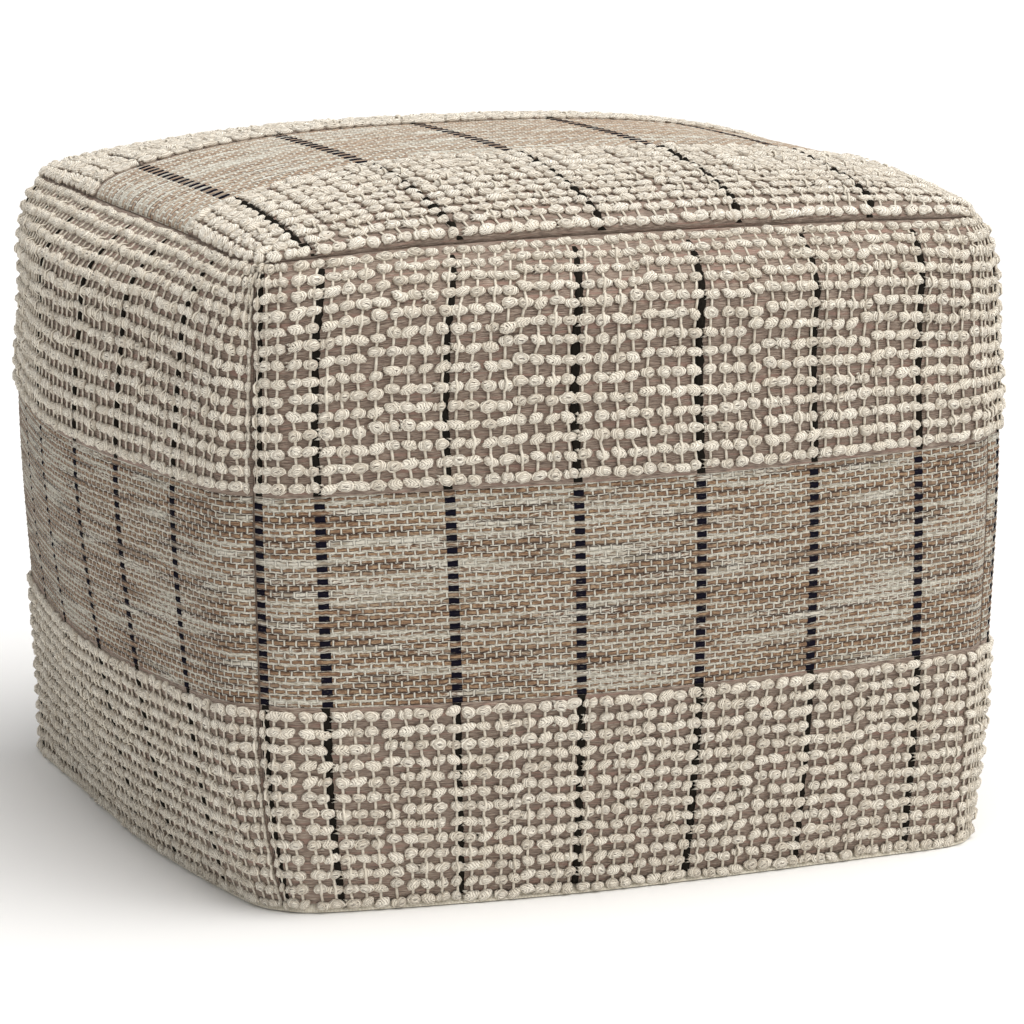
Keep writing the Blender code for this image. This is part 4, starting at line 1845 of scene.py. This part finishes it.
@dataclass(frozen=True)
class Studio:
    """A white floor, even soft light and the camera, sizes in metres and angles in degrees."""

    camera_at: Triple = (-0.8068, -2.1113, 0.5886)
    yaw: float = 21.20
    pitch: float = 10.89
    roll: float = -0.43
    focal_pixels: float = 4307.7
    frame_pixels: float = 1024.0
    sensor: float = 36.0
    floor_half: float = 30.0
    sky: float = 0.42
    sun: float = 2.95
    sun_size: float = 60.0
    sun_height: float = 64.0
    sun_from: float = 34.0
    sun_colour: Triple = (1.0, 0.98, 0.95)
    floor_tone: float = 0.9
    floor_finish: Finish = Finish(name="floor_white", sheen=0.0, shine=0.1)

    def floor(self) -> None:
        """Lay the floor."""
        half = self.floor_half
        points = [(-half, -half, 0.0), (half, -half, 0.0), (half, half, 0.0), (-half, half, 0.0)]
        mesh = bpy.data.meshes.new("floor")
        mesh.from_pydata(points, [], [(0, 1, 2, 3)])
        material, _, shader = self.floor_finish.start()
        shader["Base Color"].default_value = (self.floor_tone, self.floor_tone, self.floor_tone, 1.0)
        mesh.materials.append(material)
        floor = new_object("floor", mesh)

    def light(self) -> None:
        """Light the scene with a white sky and one large soft sun."""
        world = bpy.data.worlds.new("studio")
        world.use_nodes = True
        sky = world.node_tree.nodes["Background"].inputs
        sky["Color"].default_value = (1.0, 1.0, 1.0, 1.0)
        sky["Strength"].default_value = self.sky
        bpy.context.scene.world = world
        lamp = bpy.data.lights.new("soft_sun", "SUN")
        lamp.energy = self.sun
        lamp.angle = math.radians(self.sun_size)
        lamp.color = self.sun_colour
        sun = new_object("soft_sun", lamp)
        sun.rotation_euler = (math.radians(90.0 - self.sun_height), 0.0, math.radians(self.sun_from))

    def camera(self) -> None:
        """Set up the camera: turned up from straight down, rolled, and turned to the right."""
        lens = bpy.data.cameras.new("camera")
        lens.sensor_width = self.sensor
        lens.lens = self.focal_pixels / self.frame_pixels * self.sensor
        camera = new_object("camera", lens)
        turns = ((-self.yaw, "Z"), (90.0 - self.pitch, "X"), (self.roll, "Z"))
        placed = Matrix.Translation(self.camera_at)
        for degrees, axis in turns:
            placed = placed @ Matrix.Rotation(math.radians(degrees), 4, axis)
        camera.matrix_world = placed
        bpy.context.scene.camera = camera

    def build(self) -> None:
        """Set up the whole studio."""
        self.floor()
        self.light()
        self.camera()
        bpy.context.scene.view_settings.view_transform = "Standard"


# ---- The pouf ----

WOUND = WoundFinish(name="wound_cream_yarn", light=dyed(253, 246, 231), deep=dyed(238, 229, 212),
                    shaded_crease=dyed(166, 147, 125), pit_shade=dyed(90, 73, 59))
# A lighter copy of the bobbles' yarn for the top panel: painted light, since the top faces the light
LIT_TOP_WOUND = replace(WOUND, name="wound_cream_yarn_lit_top", light=dyed(255, 249, 236), deep=dyed(247, 239, 224),
                    shaded_crease=dyed(194, 176, 153), pit_shade=dyed(112, 92, 75), bump_depth=0.0005)
FLOAT = YarnFinish(name="cream_float_yarn", light=dyed(236, 228, 212), deep=dyed(216, 206, 189),
                   shaded_crease=dyed(140, 122, 102))
BLACK = YarnFinish(name="black_warp_yarn", light=dyed(44, 40, 34), deep=dyed(8, 8, 8), shaded_crease=dyed(5, 5, 6),
                   fibres=(2.0, 0.45), sheen=0.0, shine=0.05)
GROUND = GroundFinish(name="taupe_ground", middle=dyed(162, 144, 130), dark=dyed(112, 96, 85),
                      pale=dyed(204, 189, 172), warm=dyed(162, 133, 120))
SEAM = YarnFinish(name="seam_thread", light=dyed(120, 104, 92), deep=dyed(84, 71, 62),
                  shaded_crease=dyed(50, 41, 35), sheen=0.0, shine=0.1)
CANVAS = CanvasFinish(name="base_canvas", light=dyed(236, 230, 214), deep=dyed(214, 205, 186))

SIDE_WEAVE = WeaveFinish(name="side_brick_weave", tan=dyed(174, 145, 113), brown=dyed(116, 86, 65),
                         grey=dyed(163, 153, 135), pale=dyed(224, 219, 205), shaded_crease=dyed(54, 39, 32),
                         dash=dyed(24, 22, 33))
# A copy of the side weave for the top panel with its own dash and tick sizes; its lighter colours are painted
# light
LIT_TOP_WEAVE = replace(SIDE_WEAVE, name="lit_top_brick_weave", tan=dyed(212, 189, 162), brown=dyed(166, 138, 116),
                    grey=dyed(202, 192, 174), pale=dyed(240, 237, 224), shaded_crease=dyed(84, 66, 54),
                    dash_half=3.3, dash_between=0.2, tick_half=0.55, pale_from=0.535)

SIDE_BANDS = (BobbleBand(0.0002, 0.1057, 13), BobbleBand(0.2130, 0.3256, 14))
SIDE_FLAT = Band(0.1060, 0.2125, 34)


@dataclass
class Yarns:
    """The built materials that the panels share."""

    wound: Material
    float: Material
    black: Material
    ground: Material


@dataclass(frozen=True)
class SideSpec:
    """What tells one side panel from another."""

    name: str
    quarter_turns: int
    seed: int
    first_stripe: float
    stripe_count: int
    edge_stripes: tuple[float, ...] = ()
    # The stripes that stand aside by some columns of bobbles: number and columns
    aside: tuple[tuple[int, int], ...] = ()
    step_sign: float = 1.0
    lean: Lean = Lean()

    def stripes(self, pattern: ClothPattern) -> Array:
        """Give the stripes' places across the cloth, the regular ones first."""
        regular = self.first_stripe + np.arange(self.stripe_count) * pattern.stripe_pitch
        for number, columns in self.aside:
            regular[number] += columns * pattern.column_pitch
        return np.concatenate([regular, np.array(self.edge_stripes)])


FRONT_LEAN = Lean(rows=((0.02, 0.0045), (0.09, 0.0030), (0.16, 0.0), (0.25, -0.0035), (0.29, -0.001),
                        (0.322, 0.0050)))
LEFT_LEAN = Lean(rows=((0.0, 0.0), (0.20, 0.0), (0.246, 0.0045), (0.276, 0.0070), (0.300, 0.0130),
                       (0.322, 0.0180)), starts=-0.060, full=0.015)

SIDES = (
    SideSpec("front_panel", 0, 11, -0.1694, 6, edge_stripes=(-0.2009,), lean=FRONT_LEAN),
    SideSpec("right_panel", 1, 12, -0.1920, 7, step_sign=-1.0),
    SideSpec("back_panel", 2, 13, -0.1694, 6),
    SideSpec("left_panel", 3, 14, -0.1752, 6, aside=((3, 1),), step_sign=-0.5, lean=LEFT_LEAN),
)


def fitted(weave: WeaveFinish, panel: ClothPanel) -> WeaveFinish:
    """Fit a weave's warps and rows to a panel's flat band, in millimetres."""
    tick = panel.surface.half_across / MM / panel.cloth.coarse
    flat = panel.flat_band
    return replace(weave, tick=tick, row=flat.pitch / MM, first_row=flat.start / MM)


def build_sides(maker: BobbleMaker, groups: Groups, yarns: Yarns) -> None:
    """Build the four side panels, which share one weave."""
    pattern = ClothPattern()
    weave = None
    for spec in SIDES:
        surface = SideSurface(spec.quarter_turns, spec.lean)
        panel = ClothPanel(spec.name, surface, SIDE_BANDS, SIDE_FLAT, spec.stripes(pattern), pattern,
                           spec.seed, spec.step_sign)
        weave = weave or fitted(SIDE_WEAVE, panel).build(groups)
        side_cloth(panel, surface, [yarns.ground, weave])
        panel.dress(maker, yarns)


@dataclass(frozen=True)
class TopSpec:
    """The top panel's bands and stripes.

    The edges of its flat band are shares of the way to the seams. Rims are how far the bobbled
    bands end from the seams, in metres.
    """

    front_edge: float = -0.49
    back_edge: float = 0.33
    front_rim: float = 0.0014
    back_rim: float = 0.0026
    front_rows: int = 12
    back_rows: int = 16
    back_bar_share: float = 0.35
    flat_rows: int = 34
    flat_margin: float = 0.0006
    first_stripe: float = -0.1765
    stripe_count: int = 5
    seed: int = 15
    cloth: ClothGrid = ClothGrid(coarse=64)
    pattern: ClothPattern = ClothPattern(
        stripe_pitch=0.0785, columns_per_stripe=9, ground=-0.0008, flat=-0.0006, bobble_height=0.0064,
        bobble_thick=0.0034, step_height=0.0009, stripe_lift=0.0032, stripe_swell=0.47,
        short_share=0.80, bar_stray=0.10, loose_share=0.40)

    def panel(self) -> ClothPanel:
        """Lay the panel's bands and stripes out on the crown."""
        surface = TopSurface()
        front_end, back_start = surface.up_at(self.front_edge), surface.up_at(self.back_edge)
        bands = (BobbleBand(-surface.half_up + self.front_rim, front_end, self.front_rows),
                 BobbleBand(back_start, surface.half_up - self.back_rim, self.back_rows, self.back_bar_share))
        flat = Band(front_end + self.flat_margin, back_start - self.flat_margin, self.flat_rows)
        stripes = self.first_stripe + np.arange(self.stripe_count) * self.pattern.stripe_pitch
        return ClothPanel("top_panel", surface, bands, flat, stripes, self.pattern, self.seed,
                          cloth=self.cloth)


def build_top(maker: BobbleMaker, groups: Groups, yarns: Yarns) -> None:
    """Build the top panel, whose cloth is stretched wider than the sides'."""
    panel = TopSpec().panel()
    # The top panel's weave and bobble yarn are lighter copies: painted light on the top
    weave = fitted(LIT_TOP_WEAVE, panel).build(groups)
    top_cloth(panel, [yarns.ground, weave])
    panel.dress(maker, replace(yarns, wound=LIT_TOP_WOUND.build(groups)))


def main() -> None:
    """Build the pouf, panel by panel, then the studio."""
    groups = Groups()
    yarns = Yarns(WOUND.build(groups), FLOAT.build(groups), BLACK.build(groups), GROUND.build(groups))
    maker = BobbleMaker(np.random.default_rng(5))
    build_sides(maker, groups, yarns)
    build_top(maker, groups, yarns)
    base_cloth(CANVAS.build(groups))
    seam_threads(SEAM.build(groups))
    Studio().build()


if __name__ == "__main__":
    main()
